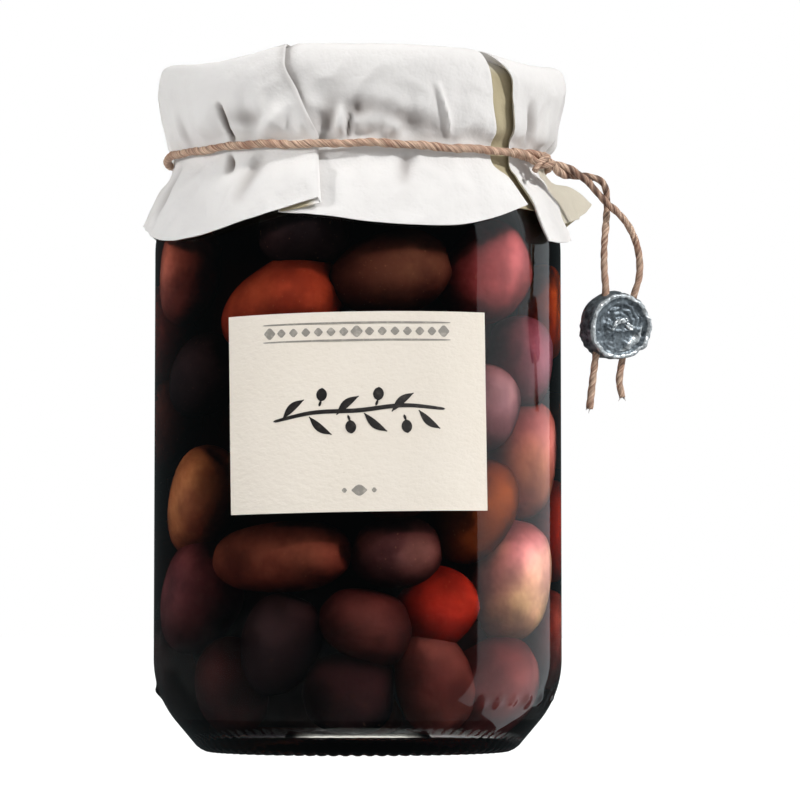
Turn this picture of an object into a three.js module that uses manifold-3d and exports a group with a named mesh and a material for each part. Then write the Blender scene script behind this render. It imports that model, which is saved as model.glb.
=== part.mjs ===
// A jar of black olives under a pleated paper cover, tied with twine that carries a lead seal.
//
// Millimetres, +Z up, standing on z = 0. Azimuths are degrees round the jar's axis from the front
// (-Y), positive towards +X. The origin is the middle of the box round the jar and its cover, so
// the jar's axis stands a little to the left of it, because the cover reaches further right.

import * as THREE from "three";
import { mergeVertices } from "three/addons/utils/BufferGeometryUtils.js";
import Module from "manifold-3d";

const wasm = await Module();
wasm.setup();

// Driving dimensions of the jar
const jarAxisX = -2.7;
const bodyRadius = 42;
const wall = 2.5;
const ringInner = 28.8;
const ringOuter = 31.3;
const pushUp = 1.8;
const heelRadius = 20;
const heelTop = 19;
const heelFoot = 6.1;
const baseInside = 5.2;
const shoulderFoot = 102.5;
const shoulderSlope = 1.6;
const neckFoot = 117;
const neckRadius = 35.9;
const mouthRadius = 33.2;
const jarHeight = 135.3;
const jarSides = 40;

// Driving dimensions of the lid, the label and the seal
const gap = 0.3;
const lidRadius = 37.2;
const lidTop = 136.8;
const lidFoot = 124.6;
const lidSheet = 0.9;
const labelWidth = 54;
const labelFoot = 48;
const labelHeight = 39.2;
const labelThick = 0.35;
const labelTilt = 1;
const sealRadius = 7.1;
const sealThick = 5;
const sealRim = 1.3;
const sealCentre = new THREE.Vector3(52.4, -14, 86.6);
const sealTurn = 28;
const sealNod = 8;

// Driving dimensions of the paper cover and the twine
const coverTop = 139.7;
const coverSheet = 0.7;
const rimEdge = 1.9;
const rimDraw = 2.2;
const waistRadius = 38.45;
const waistBand = 1.3;
const twineRadius = 0.8;
const tailRadius = 0.66;
const twineSides = 6;
const tailSides = 8;
const ringSteps = 60;

// Driving dimensions of the olives
const heapFoot = 5.6;
const heapTop = 112;
const coreRadius = 29;
const coreSides = 20;
const wallPlay = 0.4;
const heelLean = 1.3;
const floorRing = 17.5;
const oliveSides = 7;
const oliveRows = 5;
const slack = 0.05;

const radians = THREE.MathUtils.degToRad;
const mix = THREE.MathUtils.lerp;

/** A point at an azimuth in degrees, a radius and a height. */
function polar(azimuth, radius, z) {
  const a = radians(azimuth);
  return new THREE.Vector3(radius * Math.sin(a), -radius * Math.cos(a), z);
}

/** The value at a fraction 0 to 1 along evenly spaced values. */
function along(values, fraction) {
  const place = fraction * (values.length - 1);
  const from = Math.min(Math.floor(place), values.length - 2);
  return mix(values[from], values[from + 1], place - from);
}

/** One closed body from a geometry: shared corners, no empty triangles, faces outward. */
function closed(geometry) {
  const source = geometry.clone();
  source.deleteAttribute("normal");
  source.deleteAttribute("uv");
  const merged = mergeVertices(source, 1e-4);
  const at = merged.attributes.position;
  const corners = [0, 1, 2].map(() => new THREE.Vector3());
  const kept = [];
  let volume = 0;
  for (let i = 0; i < merged.index.count; i += 3) {
    const tri = [0, 1, 2].map((k) => merged.index.getX(i + k));
    if (tri[0] === tri[1] || tri[1] === tri[2] || tri[2] === tri[0]) continue;
    corners.forEach((corner, k) => corner.fromBufferAttribute(at, tri[k]));
    volume += corners[0].dot(corners[1].clone().cross(corners[2]));
    kept.push(tri);
  }
  const order = volume < 0 ? [0, 2, 1] : [0, 1, 2];
  merged.setIndex(kept.flatMap((tri) => order.map((k) => tri[k])));
  return merged;
}

/** A manifold solid from a closed geometry. */
function toSolid(geometry) {
  const ready = closed(geometry);
  const vertProperties = new Float32Array(ready.attributes.position.array);
  const triVerts = new Uint32Array(ready.index.array);
  return new wasm.Manifold(new wasm.Mesh({ numProp: 3, vertProperties, triVerts }));
}

/** A geometry from a manifold solid. */
function toGeometry(solid) {
  const mesh = solid.getMesh();
  const geometry = new THREE.BufferGeometry();
  const points = new Float32Array(mesh.numVert * 3);
  for (let i = 0; i < mesh.numVert; i += 1) {
    for (let k = 0; k < 3; k += 1) points[i * 3 + k] = mesh.vertProperties[i * mesh.numProp + k];
  }
  geometry.setAttribute("position", new THREE.BufferAttribute(points, 3));
  geometry.setIndex(Array.from(mesh.triVerts));
  return geometry;
}

/** The largest of the separate skins of a geometry, so that no hollow is shut in. */
function outerSkin(geometry) {
  const { index } = geometry;
  const owner = Array.from({ length: geometry.attributes.position.count }, (_, i) => i);
  const find = (i) => {
    let at = i;
    while (owner[at] !== at) at = owner[at];
    return at;
  };
  const tris = Array.from({ length: index.count / 3 }, (_, t) => (
    [0, 1, 2].map((k) => index.getX(3 * t + k))));
  tris.forEach(([a, b, c]) => {
    owner[find(b)] = find(a);
    owner[find(c)] = find(a);
  });
  const skins = new Map();
  tris.forEach((tri) => {
    const name = find(tri[0]);
    skins.set(name, [...(skins.get(name) ?? []), tri]);
  });
  const largest = [...skins.values()].sort((one, other) => other.length - one.length)[0];
  geometry.setIndex(largest.flat());
  return closed(geometry);
}

/** A body turned round the upright axis from a list of [radius, height]. */
function turned(outline, sides) {
  const profile = outline.map(([radius, height]) => new THREE.Vector2(radius, height));
  return closed(new THREE.LatheGeometry(profile, sides).rotateX(Math.PI / 2));
}

/** A round tube along a curve. */
function tube(curve, radius, sides, steps) {
  const section = new THREE.Shape();
  for (let i = 0; i < sides; i += 1) {
    const a = (i / sides) * 2 * Math.PI;
    const corner = [radius * Math.cos(a), radius * Math.sin(a)];
    if (i === 0) section.moveTo(...corner);
    else section.lineTo(...corner);
  }
  section.closePath();
  return closed(new THREE.ExtrudeGeometry(section, { steps, extrudePath: curve }));
}

/** A named mesh with the finish of one sub-part. */
function piece(name, geometry, color, roughness, metalness = 0, extra = {}) {
  const ready = geometry.index ? geometry : closed(geometry);
  ready.computeVertexNormals();
  const material = new THREE.MeshStandardMaterial({ color, roughness, metalness, ...extra });
  const mesh = new THREE.Mesh(ready, material);
  mesh.name = name;
  return mesh;
}

/** The heel: a round from the body down to the slant that runs in to the standing ring. */
function heel(inset, steps) {
  const radius = heelRadius - inset;
  const turn = Math.asin((heelTop - heelFoot) / heelRadius);
  return Array.from({ length: steps + 1 }, (_, i) => {
    const a = (turn * i) / steps;
    return [bodyRadius - heelRadius + radius * Math.cos(a), heelTop - radius * Math.sin(a)];
  });
}

/** The shoulder: from the body in to the neck, steepest half way. */
function shoulder(foot, from, top, to, steps) {
  return Array.from({ length: steps + 1 }, (_, i) => {
    const a = (i / steps) * (Math.PI / 2);
    return [to + (from - to) * Math.cos(a) ** shoulderSlope, foot + (top - foot) * Math.sin(a)];
  });
}

/** The outline of the hollow in the glass, from the mouth down to the middle of the base. */
function hollow() {
  return [
    [mouthRadius, jarHeight],
    ...shoulder(shoulderFoot, bodyRadius - wall, neckFoot + 1, mouthRadius, 4).reverse(),
    ...heel(wall, 3),
    [ringOuter - 1, baseInside],
    [0, baseInside],
  ];
}

/** The glass: push-up, standing ring, heel, straight body, shoulder, neck and open mouth. */
function glassJar() {
  const outside = [
    [0, pushUp],
    [ringInner - 3.2, pushUp],
    [ringInner, 0],
    [ringOuter, 0],
    [ringOuter + 1.6, 0.9],
    ...heel(0, 4).reverse(),
    ...shoulder(shoulderFoot, bodyRadius, neckFoot, neckRadius, 5),
    [neckRadius, jarHeight],
  ];
  return turned([...outside, ...hollow()], jarSides);
}

/** The plain metal lid, whose edge shapes the paper: a cup turned down over the neck. */
function lid() {
  const under = lidRadius - lidSheet;
  return turned([
    [0, lidTop],
    [lidRadius - 1, lidTop],
    [lidRadius, lidTop - 1],
    [lidRadius, lidFoot],
    [under, lidFoot],
    [under, jarHeight + gap],
    [0, jarHeight + gap],
  ], jarSides);
}

/** The label: a thin plate bent round the front of the jar, very slightly askew. */
function label() {
  const radius = bodyRadius + gap;
  const columns = 14;
  const plate = new THREE.BoxGeometry(labelWidth, labelThick, labelHeight, columns, 1, 4);
  plate.rotateY(radians(-labelTilt));
  const at = plate.attributes.position;
  for (let i = 0; i < at.count; i += 1) {
    const azimuth = THREE.MathUtils.radToDeg(at.getX(i) / radius);
    const out = radius + labelThick / 2 - at.getY(i);
    const point = polar(azimuth, out, labelFoot + labelHeight / 2 + at.getZ(i));
    at.setXYZ(i, point.x, point.y, point.z);
  }
  return closed(plate);
}

/** The twine dips a little at the front and on the right, where the seal pulls at it. */
function twineHeight(azimuth) {
  return 121.3 - 0.6 * Math.cos(radians(azimuth)) - 0.5 * Math.sin(radians(azimuth));
}

// The panels of the cover between its pleats. start and end are azimuths at the rim, at the twine
// and at the hem. lift is how far the sheet stands out at its two ends, and hemZ and hemR are the
// heights and radii of the hem, evenly along the panel.
const panels = [
  { // left flap, whose right edge lies over the middle one
    start: [-97, -95, -96], end: [-20, -11.6, -9.6], lift: [-0.2, 1.1], columns: 13,
    hemZ: [110.5, 108, 103.9, 103.3, 106.1, 109.8], hemR: [44, 45.2, 44.6, 43.9, 43.5, 43.1],
  },
  { // middle flap
    start: [-19, -10.6, -8.6], end: [34.4, 41.7, 51.8], lift: [-0.3, 0.6], columns: 9,
    hemZ: [106, 104.7, 104.5, 105.1, 107, 110.2], hemR: [42.9, 43.2, 43.3, 43.3, 43.2, 43],
  },
  { // floor of the open pleat
    start: [35.6, 42.6, 52.8], end: [45, 47.2, 58], lift: [-1.9, -1.9], columns: 2,
    hemZ: [110.2, 110.4], hemR: [42.8, 43],
  },
  { // right flap
    start: [46.2, 48.2, 59], end: [66, 72, 74.5], lift: [0.7, 0.5], columns: 4,
    hemZ: [103.1, 103.4, 104.3], hemR: [44.4, 44.9, 45.1],
  },
  { // wing that stands out behind the right flap
    start: [67, 73, 75.5], end: [99, 99, 103.5], lift: [0, 0.8], columns: 5,
    hemZ: [109.5, 108.9, 110.8, 114.7], hemR: [44.4, 44.5, 46.6, 51],
  },
  { // flaps round the back
    start: [100, 100, 101], end: [148, 150, 150], lift: [-0.2, 0.9], columns: 8,
    hemZ: [108, 105.5, 104.3, 106.5], hemR: [43.4, 43.6, 43.6, 43.4],
  },
  {
    start: [149, 151, 151.5], end: [207, 205, 205], lift: [-0.2, 0.9], columns: 9,
    hemZ: [107.5, 104.6, 104, 105, 107.6], hemR: [43.2, 43.3, 43.4, 43.3, 43.2],
  },
  {
    start: [208, 206, 206.5], end: [262, 264, 263], lift: [-0.2, 0.8], columns: 8,
    hemZ: [105.5, 103.8, 104.2, 108.5], hemR: [43.4, 43.9, 44.2, 44],
  },
];

/** One line down the cover from beside its middle to the hem, as [azimuth, radius, height]. */
function coverLine(panel, fraction) {
  const [rim, waist, hem] = [0, 1, 2].map((k) => mix(panel.start[k], panel.end[k], fraction));
  const lift = panel.lift[0] * (1 - fraction) ** 3 + panel.lift[1] * fraction ** 3;
  const rimR = 42.4 + 0.65 * Math.sin(radians(rim)) + lift;
  const rimZ = 139.05 + 1.2 * Math.cos(radians(4 * rim));
  const tieZ = twineHeight(waist);
  const bandR = waistRadius + 0.1;
  const [hemR, hemZ] = [along(panel.hemR, fraction), along(panel.hemZ, fraction)];
  return [
    [rim, rimR / 2, mix(coverTop, rimZ, 0.3)],
    [rim, rimR - rimEdge, rimZ],
    [rim, rimR, rimZ - rimEdge],
    [mix(rim, waist, 0.4), rimR - 0.4 * rimDraw, mix(rimZ - rimEdge, tieZ + 4, 0.5)],
    [mix(rim, waist, 0.8), rimR - rimDraw - 0.5 * lift, tieZ + 4],
    [waist, bandR, tieZ + waistBand],
    [waist, bandR, tieZ - waistBand],
    [mix(waist, hem, 0.5), mix(bandR, hemR, 0.56) + 0.6 * lift, mix(tieZ, hemZ, 0.52)],
    [hem, hemR + 0.5 * lift, hemZ],
  ];
}

/** The same line moved in by the thickness of the sheet, square to the line. */
function innerLine(line) {
  return line.map(([azimuth, radius, z], j) => {
    const [, r0, z0] = line[Math.max(j - 1, 0)];
    const [, r1, z1] = line[Math.min(j + 1, line.length - 1)];
    const length = Math.hypot(r1 - r0, z1 - z0);
    return [azimuth, radius + ((z1 - z0) / length) * coverSheet,
      z - ((r1 - r0) / length) * coverSheet];
  });
}

/** The paper cover: one pleated sheet over the lid, drawn in at the twine and flared at the hem. */
function paperCover() {
  const outer = panels.flatMap((panel) => Array.from(
    { length: panel.columns + 1 },
    (_, i) => coverLine(panel, i / panel.columns),
  ));
  const inner = outer.map(innerLine);
  const rows = outer[0].length;
  const count = outer.length;
  const points = [];
  [outer, inner].forEach((side) => side.forEach((line) => {
    line.forEach(([azimuth, radius, z]) => points.push(...polar(azimuth, radius, z).toArray()));
  }));
  const top = points.length / 3;
  points.push(0, 0, coverTop, 0, 0, coverTop - coverSheet);
  const id = (side, column, row) => (side * count + (column % count)) * rows + row;
  const faces = [];
  const quad = (a, b, c, d) => faces.push(a, b, c, a, c, d);
  for (let c = 0; c < count; c += 1) {
    faces.push(top, id(0, c, 0), id(0, c + 1, 0));
    faces.push(top + 1, id(1, c + 1, 0), id(1, c, 0));
    for (let j = 0; j + 1 < rows; j += 1) {
      quad(id(0, c, j), id(0, c, j + 1), id(0, c + 1, j + 1), id(0, c + 1, j));
      quad(id(1, c, j), id(1, c + 1, j), id(1, c + 1, j + 1), id(1, c, j + 1));
    }
    const last = rows - 1;
    quad(id(0, c, last), id(1, c, last), id(1, c + 1, last), id(0, c + 1, last));
  }
  const sheet = new THREE.BufferGeometry();
  sheet.setAttribute("position", new THREE.Float32BufferAttribute(points, 3));
  sheet.setIndex(faces);
  return closed(sheet);
}

// The twisted pair from the knot out to where the two tails part, and the two tails, which run
// down through the seal and end just under it
const pairPath = [
  [31.9, -25.1, 121], [35.2, -21.9, 120.4], [38.2, -19.6, 119.4],
  [41, -17.8, 118.3], [44, -16.4, 117.5], [46.5, -15.4, 116.9],
];
const leftTail = [
  [46.95, -14.5, 117.1], [48.5, -14.2, 116.9], [49.9, -14.1, 116], [50.6, -14.1, 114.3],
  [50.75, -14.2, 111.6], [50.5, -14.6, 107.5], [50.1, -15.2, 103], [50.05, -15.8, 98],
  [50.3, -16.1, 93.6], [49.8, -16, 90], [49.1, -15.7, 86], [48.6, -15.4, 82.4],
  [48.15, -15.2, 79.4], [47.6, -15.1, 75], [47, -15, 69.7],
];
const rightTail = [
  [46.85, -16.3, 115.9], [47.9, -16.6, 114.5], [49.3, -16.7, 112.9], [50.8, -16.6, 111.3],
  [52.5, -16.2, 109.9], [54.1, -15.6, 108.3], [55.6, -14.9, 106.1], [56.8, -14.2, 103.2],
  [57.4, -13.6, 100], [57.3, -13.2, 96.6], [56.2, -13, 92.8], [55.4, -12.6, 89],
  [54.7, -12.3, 85], [54.1, -12.1, 81], [53.5, -12, 77.6], [53.3, -12, 75.4],
  [53.9, -12, 72.2],
];

/** A smooth curve through hand-placed points. */
function route(points) {
  return new THREE.CatmullRomCurve3(points.map((p) => new THREE.Vector3(...p)));
}

/** The twine round the cover with its knot and the twisted pair that leaves it. */
function twineWrap() {
  const ring = new THREE.TorusGeometry(1, 0.1, twineSides, ringSteps);
  const at = ring.attributes.position;
  const point = new THREE.Vector3();
  const ringRadius = waistRadius + gap + twineRadius;
  for (let i = 0; i < at.count; i += 1) {
    point.fromBufferAttribute(at, i);
    const azimuth = THREE.MathUtils.radToDeg(Math.atan2(point.x, -point.y));
    const scale = twineRadius / 0.1;
    const out = ringRadius + (Math.hypot(point.x, point.y) - 1) * scale;
    const moved = polar(azimuth, out, twineHeight(azimuth) + point.z * scale);
    at.setXYZ(i, moved.x, moved.y, moved.z);
  }
  const pair = tube(route(pairPath), 1.45 * twineRadius, 8, 12);
  const knot = new THREE.SphereGeometry(1, 9, 6).scale(2.6, 1.5, 1.6);
  knot.rotateY(radians(16)).rotateZ(radians(36)).translate(37.3, -21, 119.7);
  const wrap = toSolid(ring).add(toSolid(pair)).add(toSolid(knot));
  return toGeometry(wrap);
}

/** One free tail of the twine. */
function twineTail(points) {
  return tube(route(points), tailRadius, tailSides, 2 * (points.length - 1));
}

/** The lead seal: an uneven disc with a raised rim, pressed round the two tails. */
function leadSeal() {
  const half = sealThick / 2;
  const inner = sealRadius - sealRim;
  const disc = turned([
    [0, half - 0.6], [inner - 0.5, half - 0.6], [inner + 0.3, half], [sealRadius - 0.5, half - 0.1],
    [sealRadius, half - 0.8], [sealRadius - 0.2, 0.5 - half], [sealRadius - 0.9, -half], [0, -half],
  ], 26);
  const at = disc.attributes.position;
  for (let i = 0; i < at.count; i += 1) {
    const a = Math.atan2(at.getY(i), at.getX(i));
    const swell = 1 + 0.05 * Math.cos(2 * a) + 0.025 * Math.cos(3 * a + 1);
    at.setXY(i, at.getX(i) * swell, at.getY(i) * swell);
  }
  disc.rotateX(radians(90 + sealNod)).rotateZ(radians(sealTurn));
  disc.translate(...sealCentre.toArray());
  let seal = toSolid(disc);
  [leftTail, rightTail].forEach((points) => {
    const bore = tube(route(points), tailRadius + gap, tailSides, 2 * (points.length - 1));
    seal = seal.subtract(toSolid(bore));
  });
  return toGeometry(seal);
}

// The olives that show at the front: azimuth, height, length, thickness and the tilt of the long
// axis from level
const frontOlives = [
  [-74, 97, 20, 15, 75], [-18, 104, 18, 14, 5], [-27, 89.5, 25, 17, 27], [11, 95.5, 23.5, 16.5, 15],
  [50, 96, 21.5, 18, 50], [88, 90, 20, 15, 80], [-97, 86, 21, 16, 80], [68, 79, 18.5, 16, 70],
  [46, 69, 17.5, 15, 60], [-62, 76, 19, 15.5, 30], [-63, 51, 23, 15.5, 58], [71, 59.5, 25, 18, 78],
  [43, 48.5, 22.5, 16, 56], [98, 45, 21, 15, 70], [-27, 39.4, 28, 14, 3], [13, 40.2, 17, 14.5, 8],
  [64, 34.5, 25.5, 19.5, 76], [27, 29, 17, 15, 45], [3, 25.8, 18.5, 14.5, -22],
  [-68, 31.5, 24, 18.5, 50], [-27, 22.5, 19.5, 15.5, 70], [-3, 13, 17, 15, 0],
  [27, 14, 20.5, 14.5, -62], [56, 14, 20, 18, 20], [-49, 13, 18, 15, 60], [91, 16, 20, 15, 60],
];

/** A seeded draw of numbers from 0 to 1. */
function draws(seed) {
  let state = seed;
  return () => {
    state = (state * 16807) % 2147483647;
    return state / 2147483647;
  };
}

/** How far an olive reaches from its middle in a direction on the unrolled wall. */
function reach(olive, dx, dz) {
  const a = Math.atan2(dz, dx) - radians(olive.tilt);
  const [long, short] = [olive.length / 2, olive.thick / 2];
  return (long * short) / Math.hypot(short * Math.cos(a), long * Math.sin(a));
}

/** Whether an olive has room among the others on the unrolled wall. */
function hasRoom(olive, others) {
  return others.every((other) => {
    const turn = ((olive.azimuth - other.azimuth + 540) % 360) - 180;
    const dx = radians(turn) * (bodyRadius - wall - 8);
    const dz = olive.z - other.z;
    const room = reach(olive, dx, dz) + reach(other, dx, dz);
    return Math.hypot(dx, dz) > 0.93 * room;
  });
}

/** Every olive that shows through the wall: the front ones as seen, the rest drawn by a rule. */
function wallOlives() {
  const olives = frontOlives.map(([azimuth, z, length, thick, tilt]) => (
    { azimuth, z, length, thick, tilt }));
  const draw = draws(2718);
  for (let i = 0; i < 6000; i += 1) {
    const olive = {
      azimuth: 360 * draw() - 180,
      z: mix(13.5, 104, draw()),
      length: mix(18, 24, draw()),
      thick: mix(14, 16.5, draw()),
      tilt: mix(-80, 80, draw()),
    };
    if (hasRoom(olive, olives)) olives.push(olive);
  }
  return olives;
}

/** How far the inside of the glass is from the axis at a height. */
function insideRadius(z) {
  const outline = hollow();
  const at = outline.findIndex(([, height]) => height <= z);
  if (at < 1) return 0;
  const [[r1, z1], [r0, z0]] = [outline[at - 1], outline[at]];
  return mix(r0, r1, (z - z0) / (z1 - z0));
}

/** One olive with few sides, its long axis level and along X, a little blunter at one end. */
function oliveShape(length, thick) {
  const shape = new THREE.SphereGeometry(1, oliveSides, oliveRows).rotateZ(Math.PI / 2);
  const at = shape.attributes.position;
  for (let i = 0; i < at.count; i += 1) {
    const taper = 1 + 0.08 * at.getX(i);
    at.setXYZ(i, (at.getX(i) * length) / 2, (at.getY(i) * taper * thick) / 2,
      (at.getZ(i) * taper * thick) / 2);
  }
  return shape;
}

/** How far an olive leans back at its foot, in radians, to lie along the round of the heel. */
function lean(z) {
  return heelLean * Math.asin(Math.max(heelTop - z, 0) / (heelRadius - wall));
}

/** Lifts a shape at the front off the base, then moves it in until it just clears the wall. */
function clearOfGlass(shape) {
  shape.computeBoundingBox();
  shape.translate(0, 0, Math.max(heapFoot - shape.boundingBox.min.z, 0));
  const at = shape.attributes.position;
  let over = -Infinity;
  for (let i = 0; i < at.count; i += 1) {
    over = Math.max(over, Math.hypot(at.getX(i), at.getY(i)) - insideRadius(at.getZ(i)));
  }
  return shape.translate(0, over + wallPlay, 0);
}

/** The olives: a core with the olives that show through the glass fused on. */
function oliveHeap() {
  const core = turned([
    [0, heapFoot + 3], [coreRadius - 5, heapFoot + 3], [coreRadius, 16],
    [coreRadius, heapTop - 12], [coreRadius - 6, heapTop], [0, heapTop],
  ], coreSides);
  const parts = [toSolid(core)];
  wallOlives().forEach(({ azimuth, z, length, thick, tilt }) => {
    const shape = oliveShape(length, thick).rotateY(radians(-tilt)).rotateX(lean(z));
    shape.translate(0, thick / 2 - insideRadius(z), z);
    parts.push(toSolid(clearOfGlass(shape).rotateZ(radians(azimuth))));
  });
  const floorDraw = draws(31);
  for (let i = 0; i < 7; i += 1) {
    const thick = mix(14, 16, floorDraw());
    const shape = oliveShape(mix(18, 21, floorDraw()), thick).rotateZ(radians(360 * floorDraw()));
    shape.translate(0, i === 0 ? 0 : -floorRing, heapFoot + 1.05 * thick / 2);
    parts.push(toSolid(shape.rotateZ(radians(60 * i))));
  }
  return outerSkin(toGeometry(wasm.Manifold.union(parts).simplify(slack)));
}

const jarOfOlives = new THREE.Group();
const onAxis = new THREE.Group();
onAxis.position.x = jarAxisX;
onAxis.add(
  piece("glass_jar", glassJar(), 0xcfd6d4, 0.05, 0, { transparent: true, opacity: 0.35 }),
  piece("lid", lid(), 0xc9b98a, 0.35, 0.8),
  piece("olives", oliveHeap(), 0x5a2420, 0.4),
  piece("paper_cover", paperCover(), 0xeeeae4, 0.9),
  piece("twine_wrap", twineWrap(), 0xb08a70, 0.85),
  piece("twine_tail_left", twineTail(leftTail), 0xb08a70, 0.85),
  piece("twine_tail_right", twineTail(rightTail), 0xb08a70, 0.85),
  piece("lead_seal", leadSeal(), 0x6c7378, 0.45, 0.9),
  piece("label", label(), 0xece6d8, 0.9),
);
jarOfOlives.add(onAxis);

export default jarOfOlives;
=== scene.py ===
"""A jar of dark olives under a pleated paper cover, tied with twine that carries a lead seal."""

import logging
import math
from dataclasses import dataclass, field
from enum import Enum
from typing import Callable, Iterable, Optional, Sequence, Union

import bmesh
import bpy
import numpy as np
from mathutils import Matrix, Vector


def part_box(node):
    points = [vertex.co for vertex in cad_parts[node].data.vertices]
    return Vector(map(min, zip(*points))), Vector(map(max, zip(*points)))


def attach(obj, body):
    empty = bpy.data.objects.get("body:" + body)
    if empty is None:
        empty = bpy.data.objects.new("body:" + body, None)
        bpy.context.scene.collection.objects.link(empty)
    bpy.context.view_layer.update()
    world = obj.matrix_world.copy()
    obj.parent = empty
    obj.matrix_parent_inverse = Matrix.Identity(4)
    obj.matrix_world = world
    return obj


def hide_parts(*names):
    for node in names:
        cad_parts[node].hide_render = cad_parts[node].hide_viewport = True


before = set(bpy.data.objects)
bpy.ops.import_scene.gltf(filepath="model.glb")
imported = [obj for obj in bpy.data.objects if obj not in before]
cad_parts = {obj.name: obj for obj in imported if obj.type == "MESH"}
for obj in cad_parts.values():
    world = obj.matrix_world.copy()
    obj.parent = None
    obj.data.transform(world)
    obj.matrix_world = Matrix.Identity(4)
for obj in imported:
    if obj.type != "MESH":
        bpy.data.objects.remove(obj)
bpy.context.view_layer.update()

LOG = logging.getLogger("jar_of_olives")
BODY = "root"

# Sizes are in millimetres from the foot of the jar's axis, and meshes are written in metres
MM = 0.001
JAR_LOW, JAR_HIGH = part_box("glass_jar")
AXIS_X = (JAR_LOW[0] + JAR_HIGH[0]) / 2 / MM

# The rule of the seeded draw, shared with the solid
DRAW_FACTOR = 16807
DRAW_SPAN = 2147483647

Pair = tuple[float, float]
Triple = tuple[float, float, float]
Colour = Triple
Faces = list[list[int]]
Array = np.ndarray
Material = bpy.types.Material
Piece = bpy.types.Object


def tint(red: float, green: float, blue: float) -> Colour:
    """Returns a screen colour, 0 to 255 a channel, as linear light."""
    parts = (channel / 255 for channel in (red, green, blue))
    return tuple(part / 12.92 if part <= 0.04045 else ((part + 0.055) / 1.055) ** 2.4
                 for part in parts)


def draws(seed: int) -> Callable[[], float]:
    """A seeded draw of numbers from 0 to 1, by the rule that places the olives of the solid.

    Args:
        seed: Where the draw starts.

    Returns:
        A function that gives the next number.
    """
    state = [seed]

    def draw() -> float:
        """Returns the next number."""
        state[0] = state[0] * DRAW_FACTOR % DRAW_SPAN
        return state[0] / DRAW_SPAN
    return draw


def mix(start: float, end: float, share: float) -> float:
    """Returns the value at a share of the way from start to end."""
    return start + (end - start) * share


def polar(azimuth: Array, radius: Array, z: Array) -> Array:
    """Points round the axis.

    Args:
        azimuth: Degrees to the right of the front.
        radius: Distance from the axis.
        z: Height.

    Returns:
        One point for each entry, on a last axis of three.
    """
    turn = np.radians(azimuth)
    return np.stack(np.broadcast_arrays(radius * np.sin(turn), -radius * np.cos(turn), z), axis=-1)


def rotated(points: Array, first: int, second: int, turn: float) -> Array:
    """Points turned about the origin, in the plane of two axes.

    Args:
        points: The points, one a row.
        first: Number of the axis that turns towards the second.
        second: Number of the second axis.
        turn: How far, in radians.

    Returns:
        The turned points.
    """
    moved = points.copy()
    one, other = points[:, first], points[:, second]
    moved[:, first] = one * math.cos(turn) - other * math.sin(turn)
    moved[:, second] = one * math.sin(turn) + other * math.cos(turn)
    return moved


def waves(points: Array, seed: int, length: float, count: int = 24) -> Array:
    """A smooth seeded unevenness in space, mostly between -1 and 1.

    Args:
        points: Places, on a last axis of three.
        seed: Picks the pattern.
        length: Typical distance from crest to crest.
        count: How many plane waves add up.

    Returns:
        One value for each place.
    """
    rng = np.random.default_rng(seed)
    ways = rng.normal(size=(count, 3))
    ways *= (2 * math.pi / length) * rng.uniform(0.6, 1.4, (count, 1)) / np.linalg.norm(
        ways, axis=1, keepdims=True)
    phases = rng.uniform(0, 2 * math.pi, count)
    return np.cos(points @ ways.T + phases).sum(axis=-1) / math.sqrt(count / 1.4)


def hermite(knots: Array, values: Array, at: Array) -> Array:
    """A smooth line through values at uneven knots.

    Args:
        knots: Rising places of the values.
        values: One value, or block of values, for each knot.
        at: Places to read.

    Returns:
        The values there, on the same trailing axes.
    """
    gaps = np.diff(knots)
    spread = gaps.reshape((-1,) + (1,) * (values.ndim - 1))
    slopes = np.diff(values, axis=0) / spread
    inner = (slopes[:-1] * spread[1:] + slopes[1:] * spread[:-1]) / (spread[:-1] + spread[1:])
    tangents = np.concatenate([slopes[:1], inner, slopes[-1:]])
    cell = np.clip(np.searchsorted(knots, at, side="right") - 1, 0, len(gaps) - 1)
    share = ((at - knots[cell]) / gaps[cell]).reshape((-1,) + (1,) * (values.ndim - 1))
    wide = gaps[cell].reshape(share.shape)
    first, last = values[cell], values[cell + 1]
    return (first * (2 * share**3 - 3 * share**2 + 1)
            + tangents[cell] * wide * (share**3 - 2 * share**2 + share)
            + last * (3 * share**2 - 2 * share**3)
            + tangents[cell + 1] * wide * (share**3 - share**2))


def run_along(points: Array) -> Array:
    """Returns how far each point lies along the line through them all."""
    return np.concatenate([[0], np.cumsum(np.linalg.norm(np.diff(points, axis=0), axis=1))])


def smooth_route(points: Sequence[Sequence[float]], spacing: float) -> Array:
    """A smooth route through given points, cut into even steps.

    Args:
        points: The points, in millimetres.
        spacing: Length of a step.

    Returns:
        The points of the route, first and last kept.
    """
    held = np.asarray(points, float)
    knots = np.concatenate([[0], np.cumsum(np.linalg.norm(np.diff(held, axis=0), axis=1) ** 0.5)])
    fine = hermite(knots, held, np.linspace(0, knots[-1], 40 * len(held)))
    run = run_along(fine)
    places = np.linspace(0, run[-1], max(2, math.ceil(run[-1] / spacing) + 1))
    return np.stack([np.interp(places, run, fine[:, k]) for k in range(3)], axis=1)


def route_length(route: Array) -> float:
    """Returns the length of a route."""
    return float(np.linalg.norm(np.diff(route, axis=0), axis=1).sum())


def route_frames(route: Array) -> tuple[Array, Array]:
    """Two directions square to a route at each point, carried along it without twist.

    Args:
        route: The points of the route.

    Returns:
        The two directions, one row for each point.
    """
    ahead = np.gradient(route, axis=0)
    ahead /= np.linalg.norm(ahead, axis=1, keepdims=True)
    side = np.empty_like(route)
    start = np.cross(ahead[0], (0.3, 1.0, 0.2))
    side[0] = start / np.linalg.norm(start)
    for i in range(1, len(route)):
        moved = side[i - 1] - ahead[i] * np.dot(side[i - 1], ahead[i])
        side[i] = moved / np.linalg.norm(moved)
    return side, np.cross(ahead, side)


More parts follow.
